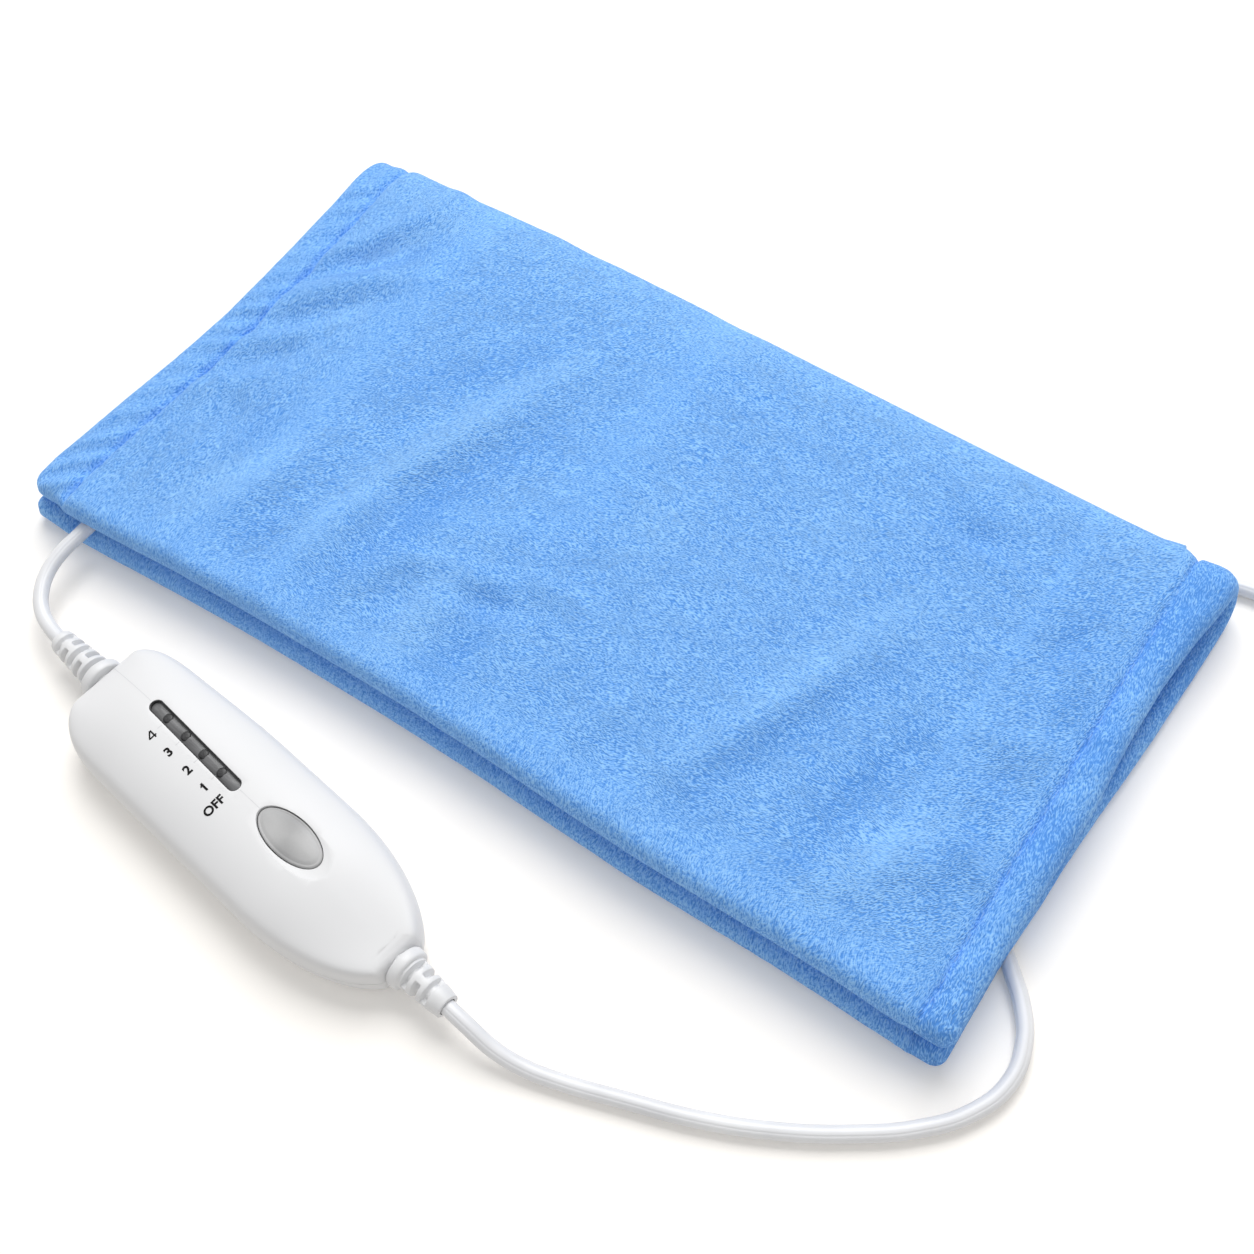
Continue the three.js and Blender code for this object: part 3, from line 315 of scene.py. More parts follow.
def coilPoint(turn):
    # Turns run inwards on the floor, climb by one lead, then run outwards on top
    v = leadValues
    climbEnd = v["turnsIn"] + v["climb"]
    inner = v["coilRadius"] - v["coilPitch"] * v["turnsIn"]
    if turn < v["turnsIn"] + v["climb"] / 2:
        radius = v["coilRadius"] - v["coilPitch"] * turn
    else:
        radius = inner + v["coilPitch"] * (turn - climbEnd)
    angle = 2 * math.pi * turn - math.pi / 2
    x, y = v["coilCentre"]
    height = v["coilHeight"] + v["coilPitch"] * ease((turn - v["turnsIn"]) / v["climb"])
    return x + radius * math.cos(angle), y + radius * math.sin(angle), height


def coilAndTail():
    v = leadValues
    thick, axis = v["diameter"], v["plugAxis"]
    turns = v["turnsIn"] + v["climb"] + v["turnsOut"]
    count = round(turns * 20)
    points = [coilPoint(turns * i / count) for i in range(count + 1)]
    x, y, z = points[-1]
    start = y + thick + 0.3
    end = start + v["tailRun"]
    return points + [(x, start, z), (x, start + thick, z), (x, end - thick, axis), (x, end + 4, axis)]


def leadMaterial():
    v = leadValues
    finish = Finish("leadCover", 0.38, **{"Coat Weight": 0.15, "Coat Roughness": 0.3})
    finish.paint(finish.noise(60, 3), (0.3, v["shade"]), (0.7, v["white"]))
    # The groove between the cord's two sides, by the way round the cord
    around = finish.level("SeparateXYZ", "Y", Vector=finish.node("UVMap").outputs["UV"])
    groove = (around * (4 * math.pi)).calc("COSINE").calc("ABSOLUTE").calc("POWER", 30)
    finish.bump(finish.noise(1400) * 0.06 - groove, 0.00016, 0.7)
    return finish.material


def makeLead(name, route, material, *stands):
    curve = bpy.data.curves.new(name, "CURVE")
    curve.dimensions = "3D"
    curve.bevel_depth = leadValues["diameter"] / 2 * mm
    curve.bevel_resolution = curve.resolution_u = 6
    curve.use_fill_caps = True
    spline = curve.splines.new("BEZIER")
    spline.bezier_points.add(len(route) - 1)
    for bezier, point in zip(spline.bezier_points, route):
        bezier.co = Vector(point) * mm
        bezier.handle_left_type = bezier.handle_right_type = "AUTO"
    lead = bpy.data.objects.new(name, curve)
    bpy.context.collection.objects.link(lead)
    return dress(lead, material, root, "lead_cover", *stands)


leadCover = leadMaterial()
padLead = makeLead("padLead", padLeadRoute, leadCover, "pad_lead")
mainsLead = makeLead("mainsLead", mainsRoute + coilAndTail(), leadCover,
                     "mains_lead", "mains_lead_coil", "mains_lead_end")
print("leads laid")


# Plush cover: two halves and the bend between them, in millimetres

padValues = {
    "length": 381,
    "foldY": 84.2,
    "frontY": -97,
    "foldAxis": 12.8,
    "foldFullness": 2.4,
    "field": 12.5,
    "edgeRound": 6,
    "leadRoom": 3.4,
    "boot": {"x": -169, "y": -67.2, "halfWide": 6.9, "halfLong": 17.4, "low": 9.5, "high": 16.1, "fade": 5},
    "napStand": 0.09,
    "columns": 320,
    "rows": 130,
    "bendRows": 30,
    "lowerColumns": 220,
    "lowerRows": 90,
}

# Left and right values of the hem, the seam and the field's rise beside it
halves = {
    "lower": {"base": 0, "crown": 0, "corner": (5, 4.5), "hem": (10.2, 10.8), "seam": (9.2, 10), "rise": (11, 14)},
    "upper": {"base": 13.1, "crown": 0.9, "corner": (7, 5), "hem": (9, 10.6), "seam": (7.7, 9.6), "rise": (8, 14)},
}

# How far the two short ends reach from the middle, by the distance from the front
endReach = {
    "lower": {
        "left": [
            (0, 199.2), (12, 198.8), (28, 194.3), (50, 190.5), (86, 188), (110, 187), (181, 188.4),
        ],
        "right": [
            (0, 184.8), (35, 184.4), (45, 184.8), (60, 185.6), (75, 185.9), (95, 187), (110, 188.1),
            (130, 189.3), (150, 190.1), (165, 190.8), (181, 191.2),
        ],
    },
    "upper": {
        "left": [
            (0, 198.6), (15, 198), (32, 195.2), (50, 192.8), (74, 189.6), (86, 188.4), (101, 187.2),
            (120, 187.1), (140, 187.2), (168, 187.8), (181, 188.6),
        ],
        "right": [
            (0, 185.6), (20, 184.9), (45, 184.9), (60, 185.4), (90, 186), (105, 185.2), (120, 184.7),
            (141, 185), (162, 186.7), (176, 188.8), (181, 189.3),
        ],
    },
}

# The front edge on the floor, how far the fold's line lies back from a straight one, and how far it bulges
frontLine = [
    (-200, -99), (-172, -99.6), (-160, -99.2), (-146, -98.5), (-126, -97.4), (-103, -96.7), (-74, -96.2),
    (-47, -96), (-16, -96.2), (15, -97), (44, -98.3), (73, -99.4), (125, -99.4), (147, -99.7),
    (161, -100.3), (178, -100.5), (190, -100.4),
]
backLine = [
    (-190, 5.8), (-183, 6.1), (-176, 5.9), (-165, 5.4), (-143, 5), (-117, 5.2), (-88, 4.7), (-59, 3.7),
    (-30, 2.6), (0, 1.3), (24, 0.3), (49, -0.4), (74, -1.2), (98, -1.9), (122, -2.5), (145, -3.1),
    (161, -3.2), (170, -1.4), (177, -3.2), (190, -4.2),
]
bendReach = [(-190, 1.13), (0, 1.09), (190, 1.0)]

# Folds of the upper half: height (a minus one is a crease) and half width, then points x, y on the pad
foldGain = 1.7
foldStrokes = [
    (2.3, 9, -88, -84, -82, -60, -76, -30, -66, 0, -57, 20, -47, 48, -44, 62),
    (-1, 8, -76, -72, -70, -50, -64, -25, -55, 0, -44, 22),
    (1.3, 9, -132, -84, -122, -62, -111, -42, -103, -20, -97, 2),
    (1.5, 8, 62, -86, 71, -68, 81, -48, 90, -26, 98, -4, 106, 16),
    (-0.7, 8, 82, -74, 90, -50, 100, -22, 110, 6),
    (1.3, 9, 118, -86, 132, -70, 150, -54, 172, -40),
    (-0.8, 7, 120, -52, 126, -40, 128, -26),
    (1.3, 4.5, -174, 40, -164, 48, -155, 62, -148, 78, -142, 88),
    (-2.6, 6.5, -165, 36, -155, 48, -144, 62, -136, 74),
    (1.9, 6.5, -174, 10, -164, 20, -153, 33, -140, 46, -126, 54),
    (-1.2, 5, -172, 2, -160, 10, -148, 22, -134, 38),
    (1.1, 5.5, -174, -10, -164, -4, -152, 6, -142, 18),
    (-1, 5, -170, -22, -158, -12, -148, 0, -142, 12),
    (0.8, 6, -174, -32, -160, -24, -144, -12),
    (-0.9, 9, -160, -40, -148, -34, -132, -30),
    (1.2, 6, -66, -82, -60, -64, -52, -50, -40, -45, -26, -46),
    (0.9, 6, -30, -44, -31, -60, -38, -82),
    (-0.8, 6, -46, -56, -44, -68, -42, -76),
    (-1.1, 5, -28, -52, -16, -50, -4, -46),
    (-0.9, 6, -16, -54, -16, -68, -17, -80),
    (0.7, 5, -20, -42, -6, -35, 8, -33, 20, -37),
    (0.8, 6, 46, -40, 44, -60, 34, -84),
    (-0.5, 7, 28, -56, 26, -72, 24, -84),
    (0.7, 4, 174, -52, 160, -44, 150, -34),
    (-0.6, 3.5, 174, -44, 162, -38, 154, -30),
    (-0.9, 6, 174, -24, 160, -16, 148, -14),
    (0.7, 5, 174, -2, 160, -2, 148, -6),
    (-0.8, 4.5, 160, 44, 152, 34, 150, 20),
    (0.7, 4, 166, 34, 160, 30, 164, 18),
    (-0.9, 4.5, 100, 58, 110, 57, 122, 60),
    (0.5, 4, 96, 50, 118, 50, 146, 50),
    (-0.55, 8, -12, 88, -15, 60, -16, 20),
    (-0.6, 8, -80, 80, -78, 56, -74, 40),
    (0.5, 8, -98, 84, -92, 60, -90, 40),
    (-0.5, 8, -8, 20, -14, -10, -16, -34),
]

# Painted light and shade of the folds, where the upper half looks lighter or darker: amount and half width, then
# points x, y
paintedFoldBands = [
    (-1, 7, -40, 17, -50, -6, -58, -24, -62, -45, -67, -60, -70, -77),
    (-1, 8, -18, -49, -13, -62, -16, -84),
    (-0.9, 8, -135, -28, -134, -42),
    (-0.9, 9, -102, -60, -109, -72),
    (-1, 7, 111, 2, 104, -11, 90, -41, 82, -59, 80, -75),
    (-1, 7, 130, -18, 122, -42, 120, -53, 119, -63, 118, -76),
    (-0.8, 7, 165, 20, 163, 12),
    (-0.9, 6, 159, -21, 157, -41, 162, -62),
    (-1.2, 5, -133, 73, -142, 55, -154, 42),
    (-0.8, 8, -53, 60, -66, 42, -96, 12, -110, -2),
    (-0.9, 10, 104, 60, 111, 58),
    (-0.9, 8, 153, 50, 157, 32),
    (1.1, 8, -51, 52, -59, 27, -67, 4, -77, -17, -84, -43, -91, -59),
    (1, 8, -35, -52, -33, -72, -36, -84),
    (1, 9, -122, -34, -129, -59, -133, -73),
    (1, 8, 100, 16, 92, -10, 83, -34, 71, -61),
    (1, 7, 156, -35, 146, -45, 128, -81),
    (1.2, 4, -132, 82, -146, 64, -157, 46),
    (1, 6, -138, 29, -145, 19),
    (0.6, 10, 15, 19, 14, -4),
    (0.7, 10, 61, 37, 71, 33),
]


def distanceTo(line, x, y):
    # The way to the nearest point of a line, and that point's share of the line's length
    best = np.full(x.shape, 1e9)
    share = np.zeros(x.shape)
    run = [math.dist(a, b) for a, b in zip(line, line[1:])]
    total, gone = sum(run), 0.0
    for (ax, ay), (bx, by), step in zip(line, line[1:], run):
        t = np.clip(((x - ax) * (bx - ax) + (y - ay) * (by - ay)) / step ** 2, 0, 1)
        away = np.hypot(x - ax - t * (bx - ax), y - ay - t * (by - ay))
        closer = away < best
        best = np.where(closer, away, best)
        share = np.where(closer, (gone + t * step) / total, share)
        gone += step
    return best, share


def strokesAt(strokes, x, y, tail, power):
    total = np.zeros(x.shape)
    for height, width, *line in strokes:
        away, t = distanceTo(list(zip(line[::2], line[1::2])), x, y)
        along = np.sin(math.pi * np.clip(t, tail, 1 - tail)) ** power
        total = total + height * np.exp(-(away / width) ** 2) * along
    return total


def readOff(table, at):
    return np.interp(at, *zip(*table))


def hemAt(side, deep):
    if side == "left":
        return 17 + 1.5 * ease(1 - deep / 40)
    return 16.6 - 0.9 * (190.5 - readOff(endReach["upper"]["right"], deep))


def leadRoomAt(route, x, y):
    # How high a round channel along a lead is above its middle, and where the channel runs
    away, _ = distanceTo([point[:2] for point in route], x, y)
    wide = padValues["leadRoom"]
    return np.sqrt(np.clip(wide ** 2 - away ** 2, 0, None)), away < wide


def liftOver(x, y, z):
    # The lower half lies over the part of the mains lead that runs below it
    channel, inRoom = leadRoomAt(mainsRoute[14:32], x, y)
    return np.where(inRoom, np.maximum(z, leadValues["diameter"] / 2 + channel), z)


def halfAt(kind, along, deep):
    # Plan, underside and top of a half, by the distances from its left end and its front
    v, half, upper = padValues, halves[kind], kind == "upper"
    halfLong, left = v["length"] / 2, along < v["length"] / 2
    fromEnd = np.minimum(along, v["length"] - along)

    def byEnd(atLeft, atRight):
        return np.where(left, atLeft, atRight)

    # Plan, with rounded corners
    r = byEnd(*half["corner"])
    a, b = np.maximum(r - fromEnd, 1e-9), np.maximum(r - deep, 1e-9)
    scale = np.maximum(a, b) / np.hypot(a, b)
    inCorner = (fromEnd < r) & (deep < r)
    end = np.where(inCorner, r - a * scale, fromEnd)
    front = np.where(inCorner, r - b * scale, deep)
    nearEnd = ease(1 - fromEnd / 60)
    reach = byEnd(*(readOff(endReach[kind][side], deep) for side in ("left", "right")))
    hemWide = byEnd(hemAt("left", deep), hemAt("right", deep))
    x = byEnd(-1.0, 1.0) * (halfLong - end + (reach - halfLong) * nearEnd)
    y = v["frontY"] + front + (readOff(frontLine, x) - v["frontY"]) * ease(1 - deep / 100)
    y = y + np.minimum(readOff(backLine, x), 0) * ease((deep - 60) / 115)
    if upper:
        y = y + 2.3 * ease(1 - deep / 70)
        y = y + byEnd(1.3 * ease((19 - fromEnd) / 5) * ease(1 - deep / 26),
                      0.5 * ease((18.5 - fromEnd) / 3) * ease(1 - deep / 20))
    # Section across: a crowned hem, the seam's groove, then the puffed field
    hemThick, seamThick = byEnd(*half["hem"]), byEnd(*half["seam"])
    seam = seamThick + 0.6 * (hemThick - seamThick) * ease((deep - 158) / 20)
    crown = np.sin(math.pi * along / v["length"]) * np.sin(math.pi / 2 * (deep / 194 + 0.45))
    field = v["field"] - half["crown"] * (1 - crown)
    s = np.clip((fromEnd - hemWide) / byEnd(*half["rise"]), 0, 1)
    puff = seam + (field - seam) * (1 - (1 - s) ** byEnd(4.0, 2.6))
    hemCrown = hemThick + 0.6 * np.sin(math.pi * np.clip(fromEnd / (hemWide - 1.5), 0, 1))
    hem = hemCrown + (seam - hemCrown) * ease((fromEnd - hemWide + 2.6) / 2.5)
    thick = np.where(fromEnd <= hemWide, hem, puff)
    thick = thick - byEnd(0.3, 0.6) * np.exp(-((fromEnd - hemWide) / 0.8) ** 2)
    edge = np.clip(np.minimum(fromEnd, deep) / v["edgeRound"], 0, 1)
    full = (1 - (1 - edge) ** 2.3) ** (1 / 2.3)
    base = np.full(x.shape, float(half["base"]))
    top = base + thick
    # At the right the two halves part a little towards the fold
    gape = byEnd(0, ease((y + 30) / 90) * nearEnd)
    if upper:
        # Folds, the sewn hems' puckers and the soft front edge
        inHem = ease((hemWide + 1 - fromEnd) / 3)
        top = top + foldGain * strokesAt(foldStrokes, x, y, 0.12, 0.8)
        pucker = inHem * ease((fromEnd - 0.5) / 6) * byEnd(0.8, 0.3) * (0.7 + 0.3 * np.sin(y / 13 + 1))
        top = top + pucker * np.sin(2 * math.pi * (y - 0.8 * x) / byEnd(11.5, 14.5) + 1.6 * np.sin(y / 17))
        lip = np.exp(-np.clip(fromEnd - hemWide, 0, 99) / 7) * (1 - inHem) * byEnd(0.22, 0.2)
        top = top + lip * np.sin(2 * math.pi * (y + 0.4 * x) / 13 + 1.1 * np.sin(y / 23))
        top = top - 1.6 * byEnd(ease((16 - fromEnd) / 14), 0) * ease(1 - deep / 55)
        top = top + 0.45 * ease(1 - deep / 22) * np.sin(x / 9.5 + 1.7 * np.sin(x / 31))
        gape = gape - byEnd(0.9, 1) * ease((16 - fromEnd) / 8) * ease((-62 - y) / 20)
        base = base + 0.9 * ease(1 - deep / 15) * ease((fromEnd - 20) / 20)
        base = base + 1.6 * gape * ease((30 - fromEnd) / 14)
        top = top + 0.5 * np.clip(gape, 0, 1) * ease((30 - fromEnd) / 14)
    else:
        top = top - 3.2 * ease(1 - deep / 19) * ease((fromEnd - 4) / 16)
        base = base + 0.35 * ease(1 - deep / 16) * (1 + np.sin(x / 8.0 + 1.3 * np.sin(x / 27)))
        top = top - 3.0 * gape * ease((24 - fromEnd) / 12)
        top = top + 0.25 * ease((deep - 120) / 40) * (1 - ease((34 - fromEnd) / 10))
    middle = base + (top - base) * 0.45
    low, high = middle + (base - middle) * full, middle + (top - middle) * full
    # Room for the pad lead and its boot between the halves, and for the mains lead below
    channel, inRoom = leadRoomAt(padLeadRoute[7:], x, y)
    boot = v["boot"]
    besideBoot, beyondBoot = np.abs(x - boot["x"]) - boot["halfWide"], np.abs(y - boot["y"]) - boot["halfLong"]
    inBoot = ease(1 - np.maximum(besideBoot, beyondBoot) / boot["fade"])
    if upper:
        low = np.where(inRoom, np.maximum(low, v["foldAxis"] + channel), low)
        low = low + (np.maximum(low, boot["high"]) - low) * inBoot
    else:
        high = np.where(inRoom, np.minimum(high, v["foldAxis"] - channel), high)
        high = high + (np.minimum(high, boot["low"]) - high) * inBoot
        low = liftOver(x, y, low)
    return x, y, low, np.maximum(high, low)


def layerGrid(name, columns, rows):
    # Two layers joined all round; also gives the way along, the rows' share and which is the outer layer
    bpy.ops.mesh.primitive_grid_add(x_subdivisions=columns, y_subdivisions=rows, size=2)
    piece = nameIt(name)
    bpy.ops.object.mode_set(mode="EDIT")
    bpy.ops.mesh.select_all(action="SELECT")
    bpy.ops.mesh.extrude_region_move(TRANSFORM_OT_translate={"value": (0, 0, 1)})
    bpy.ops.object.mode_set(mode="OBJECT")
    points = pointsOf(piece)
    t, rowShare = (points[:, 0] + 1) / 2, (points[:, 1] + 1) / 2
    along = padValues["length"] * (t - 0.5 * np.sin(2 * math.pi * t) / (2 * math.pi))
    return piece, along, rowShare, points[:, 2] > 0.5


def raiseNap(piece, holdAt):
    def ripple(size, shift=0.0):
        return np.array([noise.noise((p[0] / size + shift, p[1] / size, p[2] / size)) for p in points / mm])

    points = pointsOf(piece)
    normals = np.zeros(len(points) * 3)
    piece.data.vertices.foreach_get("normal", normals)
    stand = (ripple(2.6) + 0.6 * ripple(1.3, 7)) * holdAt(points[:, 1] / mm) * padValues["napStand"] * mm
    setPoints(piece, points + normals.reshape(-1, 3) * stand[:, None])


def keepValue(piece, name, values):
    data = piece.data.attributes.new(name, "FLOAT", "POINT").data
    data.foreach_set("value", np.asarray(values, np.float32))


def napTurnAt(x, y):
    # How the nap lies: 0 along the fold, 1 slanting, 2 along the short sides
    fromLeft, fromRight = x + 190, 187 - x
    turn = np.interp(fromLeft, (0, 45, 75, 105, 165, 225), (2, 1.8, 1.4, 1.0, 0.6, 0))
    turn = turn - 0.6 * ease((-5 - y) / 50) * ease((fromLeft - 70) / 40)
    turn = np.maximum(turn, np.interp(fromRight, (10, 22, 42, 60), (2, 1.2, 0.7, 0)))
    return np.maximum(turn, 1.15 * ease((x - 70) / 60) * ease((-62 - y) / 22))


def markNap(piece, along, deep, x, y):
    # Where the nap stands loose and coarse; where painted light and shade go: the folds, a painted highlight along
    # the back edge and painted shade of the right hem's puckers; and painted shade in the seams' grooves
    right = along > padValues["length"] / 2
    fromEnd = np.minimum(along, padValues["length"] - along)
    wide = np.where(right, hemAt("right", deep), hemAt("left", deep))
    hem = ease((wide + 2 - fromEnd) / 4)
    loose = np.where(right, 0.7, 0.2) * hem + ease((24 - deep) / 20) * np.where(right, 0.7, 0.5)
    # Painted light and shade of the folds, and a painted highlight along the back edge
    bands = np.clip(0.5 * ease((deep - 168) / 14) + strokesAt(paintedFoldBands, x, y, 0.15, 0.6), -1.2, 1.2)
    # Painted shade of the puckers on the right hem, in waves along it
    hemPuckerShade = np.where(right, 0.85 + 0.5 * np.sin(y / 8 + 1.5 * np.sin(y / 21)), 0)
    keepValue(piece, "napTurn", napTurnAt(x, y))
    keepValue(piece, "looseNap", np.clip(loose, 0, 1))
    keepValue(piece, "paintedShading", bands * (1 - hem) - hemPuckerShade * hem)
    # Painted shade in the seams' grooves, stronger on the right
    seam = np.exp(-((fromEnd - wide) / 0.6) ** 2) * ease(deep / 9)
    keepValue(piece, "paintedSeamShade", seam * np.where(right, 1, 0.4))


def finishCover(piece, along, deep, x, y, z, holdAt):
    setPlaces(piece, x, y, z)
    markNap(piece, along, deep, x, y)
    outward(piece, 0.00002)
    raiseNap(piece, holdAt)
    return smoothSides(piece, 50)


def makeHalf(kind, columns, rows):
    v = padValues
    piece, along, t, outerLayer = layerGrid(f"plushCover{kind.capitalize()}", columns, rows)
    deep = (v["foldY"] - v["frontY"]) * (t - 0.6 * np.sin(math.pi * t) / math.pi)
    x, y, low, high = halfAt(kind, along, deep)
    z = np.where(outerLayer, high, low)
    return finishCover(piece, along, deep, x, y, z, lambda py: ease((v["foldY"] - 6 - py) / 6))


def makeBend():
    v = padValues
    piece, along, t, outerLayer = layerGrid("plushCoverBend", v["columns"], v["bendRows"])
    deep = np.full(along.shape, float(v["foldY"] - v["frontY"]))
    lowerX, lowerY, lowerLow, lowerHigh = halfAt("lower", along, deep)
    upperX, upperY, upperLow, upperHigh = halfAt("upper", along, deep)
    mixed, angle, axis = ease(t), math.pi * (t - 0.5), v["foldAxis"]
    outer = (axis - lowerLow) * (1 - mixed) + (upperHigh - axis) * mixed
    inner = (axis - lowerHigh) * (1 - mixed) + (upperLow - axis) * mixed
    opened = ease((24 - np.minimum(along, v["length"] - along)) / 12)
    inner = np.minimum(inner + 1.2 * np.sin(math.pi * t) * opened, outer)
    reach = np.where(outerLayer, outer, inner)
    full = np.where(outerLayer, v["foldFullness"], 2.0)
    swell = (np.abs(np.cos(angle)) ** full + np.abs(np.sin(angle)) ** full) ** (-1 / full)
    # The bend alone reaches behind the hinge, so that the halves stay clear of each other when unfolded
    x = lowerX * (1 - mixed) + upperX * mixed
    bulge = reach * readOff(bendReach, x) + np.maximum(readOff(backLine, x), 0)
    y = lowerY * (1 - mixed) + upperY * mixed + bulge * swell * np.cos(angle)
    z = axis + reach * swell * np.sin(angle)
    z = np.where(outerLayer & (t < 0.45), liftOver(x, y, z), z)
    return finishCover(piece, along, deep, x, y, z, lambda py: ease((py - v["foldY"] - 8) / 5))


plushValues = {
    "deep": (0.090, 0.292, 0.765),
    "base": (0.198, 0.457, 0.932),
    "light": (0.303, 0.584, 0.99),
    "wander": 0.006,
    "strokeLength": 1.05,
    "strokeWidth": 0.34,
    "flows": (6, 36, 80),
    "bumpDepth": 0.62,
    "contrast": 1.5,
    "paintedShadeAmount": 0.105,
    "sheen": 0.4,
}


def plushMaterial():
    v = plushValues
    finish = Finish("skyBluePlush", 0.92, **{
        "Sheen Weight": v["sheen"], "Sheen Roughness": 0.45, "Sheen Tint": (0.5, 0.74, 1, 1),
        "Specular IOR Level": 0.15})

    def vectors(operation, **inputs):
        return finish.node("VectorMath", {"operation": operation}, **inputs).outputs[0]

    # The nap's flow wanders by a few millimetres
    cloud = finish.node("TexNoise", Vector=finish.at, Scale=60.0, Detail=2.0).outputs["Color"]
    wander = vectors("SCALE", i0=vectors("SUBTRACT", i0=cloud, i1=(0.5, 0.5, 0.5)), Scale=v["wander"])
    moved = vectors("ADD", i0=finish.at, i1=wander)
    turn, loose = finish.attribute("napTurn"), finish.attribute("looseNap")

    def shareOf(low, high):
        return finish.level("MapRange", "Result", {"interpolation_type": "SMOOTHSTEP"}, Value=turn,
                            **{"From Min": low, "From Max": high})

    def strokesOf(angle, size=1.0):
        sizes = [size * part * mm for part in (v["strokeLength"], v["strokeWidth"], 1.0)]
        place = finish.place(sizes, math.radians(angle), kind="TEXTURE", source=moved)
        return finish.noise(1.0, 0.6, 0.5, 0.25, place)

    def blended(one, other, share):
        return one + (other - one) * share

    level, slanting, upright = (strokesOf(angle) for angle in v["flows"])
    strokes = blended(blended(level, slanting, shareOf(0.3, 0.7)), upright, shareOf(1.3, 1.7))
    strokes = blended(strokes, strokesOf(v["flows"][2] + 20, 1.2), loose)
    patches = finish.place((0.038, 0.015, 0.03), math.radians(62), kind="TEXTURE")
    shade = (strokes - 0.5) * (loose * 0.15 + v["contrast"])
    shade = shade + (finish.noise(45, 3, 0.6) + finish.noise(1.0, place=patches)) * 0.05 + 0.45
    # Painted shade in the seams' grooves, and painted light and shade of the folds, the back edge and the right
    # hem's puckers
    shade = shade - finish.attribute("paintedSeamShade") * 0.06 + finish.attribute("paintedShading") * v["paintedShadeAmount"]
    finish.paint(shade, (0.29, v["deep"]), (0.5, v["base"]), (0.67, v["light"]))
    finish.bump(strokes, v["bumpDepth"] * mm, 0.9)
    return finish.material


plush = plushMaterial()
upperGrid = (padValues["columns"], padValues["rows"])
lowerGrid = (padValues["lowerColumns"], padValues["lowerRows"])
coverUpper = dress(makeHalf("upper", *upperGrid), plush, "upper_half", "plush", "plush_cover_upper")
coverLower = dress(makeHalf("lower", *lowerGrid), plush, root, "plush", "plush_cover_lower")
coverBend = dress(makeBend(), plush, None, "plush", "plush_cover_fold")
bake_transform(coverBend)
print("plush cover made")


stitchValues = {
    "count": 22,
    "first": 8,
    "pitch": 7.7,
    "length": 3.0,
    "radius": 0.2,
    "stand": 0.12,
    "thread": (0.25, 0.50, 0.93),
    "shade": (0.20, 0.40, 0.744),
}


def makeStitches():
    # Short threads lying in the two seams of the upper half
    v, made = stitchValues, []
    for side in ("left", "right"):
        for k in range(v["count"]):
            start = v["first"] + v["pitch"] * (k + 0.35 * noise.noise((k * 1.7, len(side), 3)))
            deep = np.array([start, start + v["length"]])
            wide = hemAt(side, deep)
            x, y, _, z = halfAt("upper", wide if side == "left" else padValues["length"] - wide, deep)
            bpy.ops.mesh.primitive_uv_sphere_add(segments=8, ring_count=6, radius=1)
            thread = nameIt("stitch")
            across, up, t = pointsOf(thread).T
            t = 0.5 + 0.5 * t
            setPlaces(thread, x[0] + (x[1] - x[0]) * t + across * v["radius"], y[0] + (y[1] - y[0]) * t,
                      z[0] + (z[1] - z[0]) * t + v["stand"] + up * v["radius"])
            made.append(thread)
    piece = joinAs("seamStitches", *made)
    outward(piece, 0.000001)
    return smoothSides(piece, 60)


thread = mottled("lightBlueThread", 0.5, stitchValues["shade"], stitchValues["thread"], ((900, 300, 900),),
                 **{"Sheen Weight": 0.2})
dress(makeStitches(), thread, "upper_half", "plush")
print("seams stitched")


# Controller, in its own frame: x from the pad end to the mains end, y towards the pad, millimetres

controllerValues = {
    "place": (-43.5, -151),
    "turn": -8.6,
    "length": 152,
    "width": 50,
    "height": 24,
    "parting": 10.5,
    "partingGap": 0.3,
    "headRound": 31.5,
    "headOver": 0.5,
    "headPowers": (3.8, 3.0),
    "headDraw": 0.1,
    "tailRound": 54,
    "tailOver": 3,
    "headFall": 0.18,
    "tailFall": 0.47,
    "tailRun": 42,
    "shoulder": 6.4,
    "shoulderRound": 0.8,
    "crown": 2.4,
    "bottomRound": 3.4,
    "wall": 2.0,
    "leadHole": [(4, 4.75), (-4.1, 4.75), (-4.1, 6.0), (-6.9, 6.0)],
    "slot": {"middle": (-25.3, 3.9), "halfRun": 21.2, "radius": 2.55, "turn": -1.7},
    "button": {"middle": (23.5, 3.2), "a": 14.0, "b": 6.5, "gap": 0.35},
    "dish": {"shift": 3.6, "a": 16.6, "b": 8.3, "rim": 23.9, "depth": 1.5},
    "screws": [(x, y) for x in (-60, 48) for y in (-12.5, 12.5)],
    "posts": [(x, y) for x in (-46, 34) for y in (-11.5, 11.5)],
}
# Half the length and width, and where the plan's straight sides meet the tail's and the head's rounding
halfLong, halfWide = controllerValues["length"] / 2, controllerValues["width"] / 2
tailStart = halfLong + controllerValues["tailOver"] - controllerValues["tailRound"]
headStart = controllerValues["headRound"] - halfLong - controllerValues["headOver"]


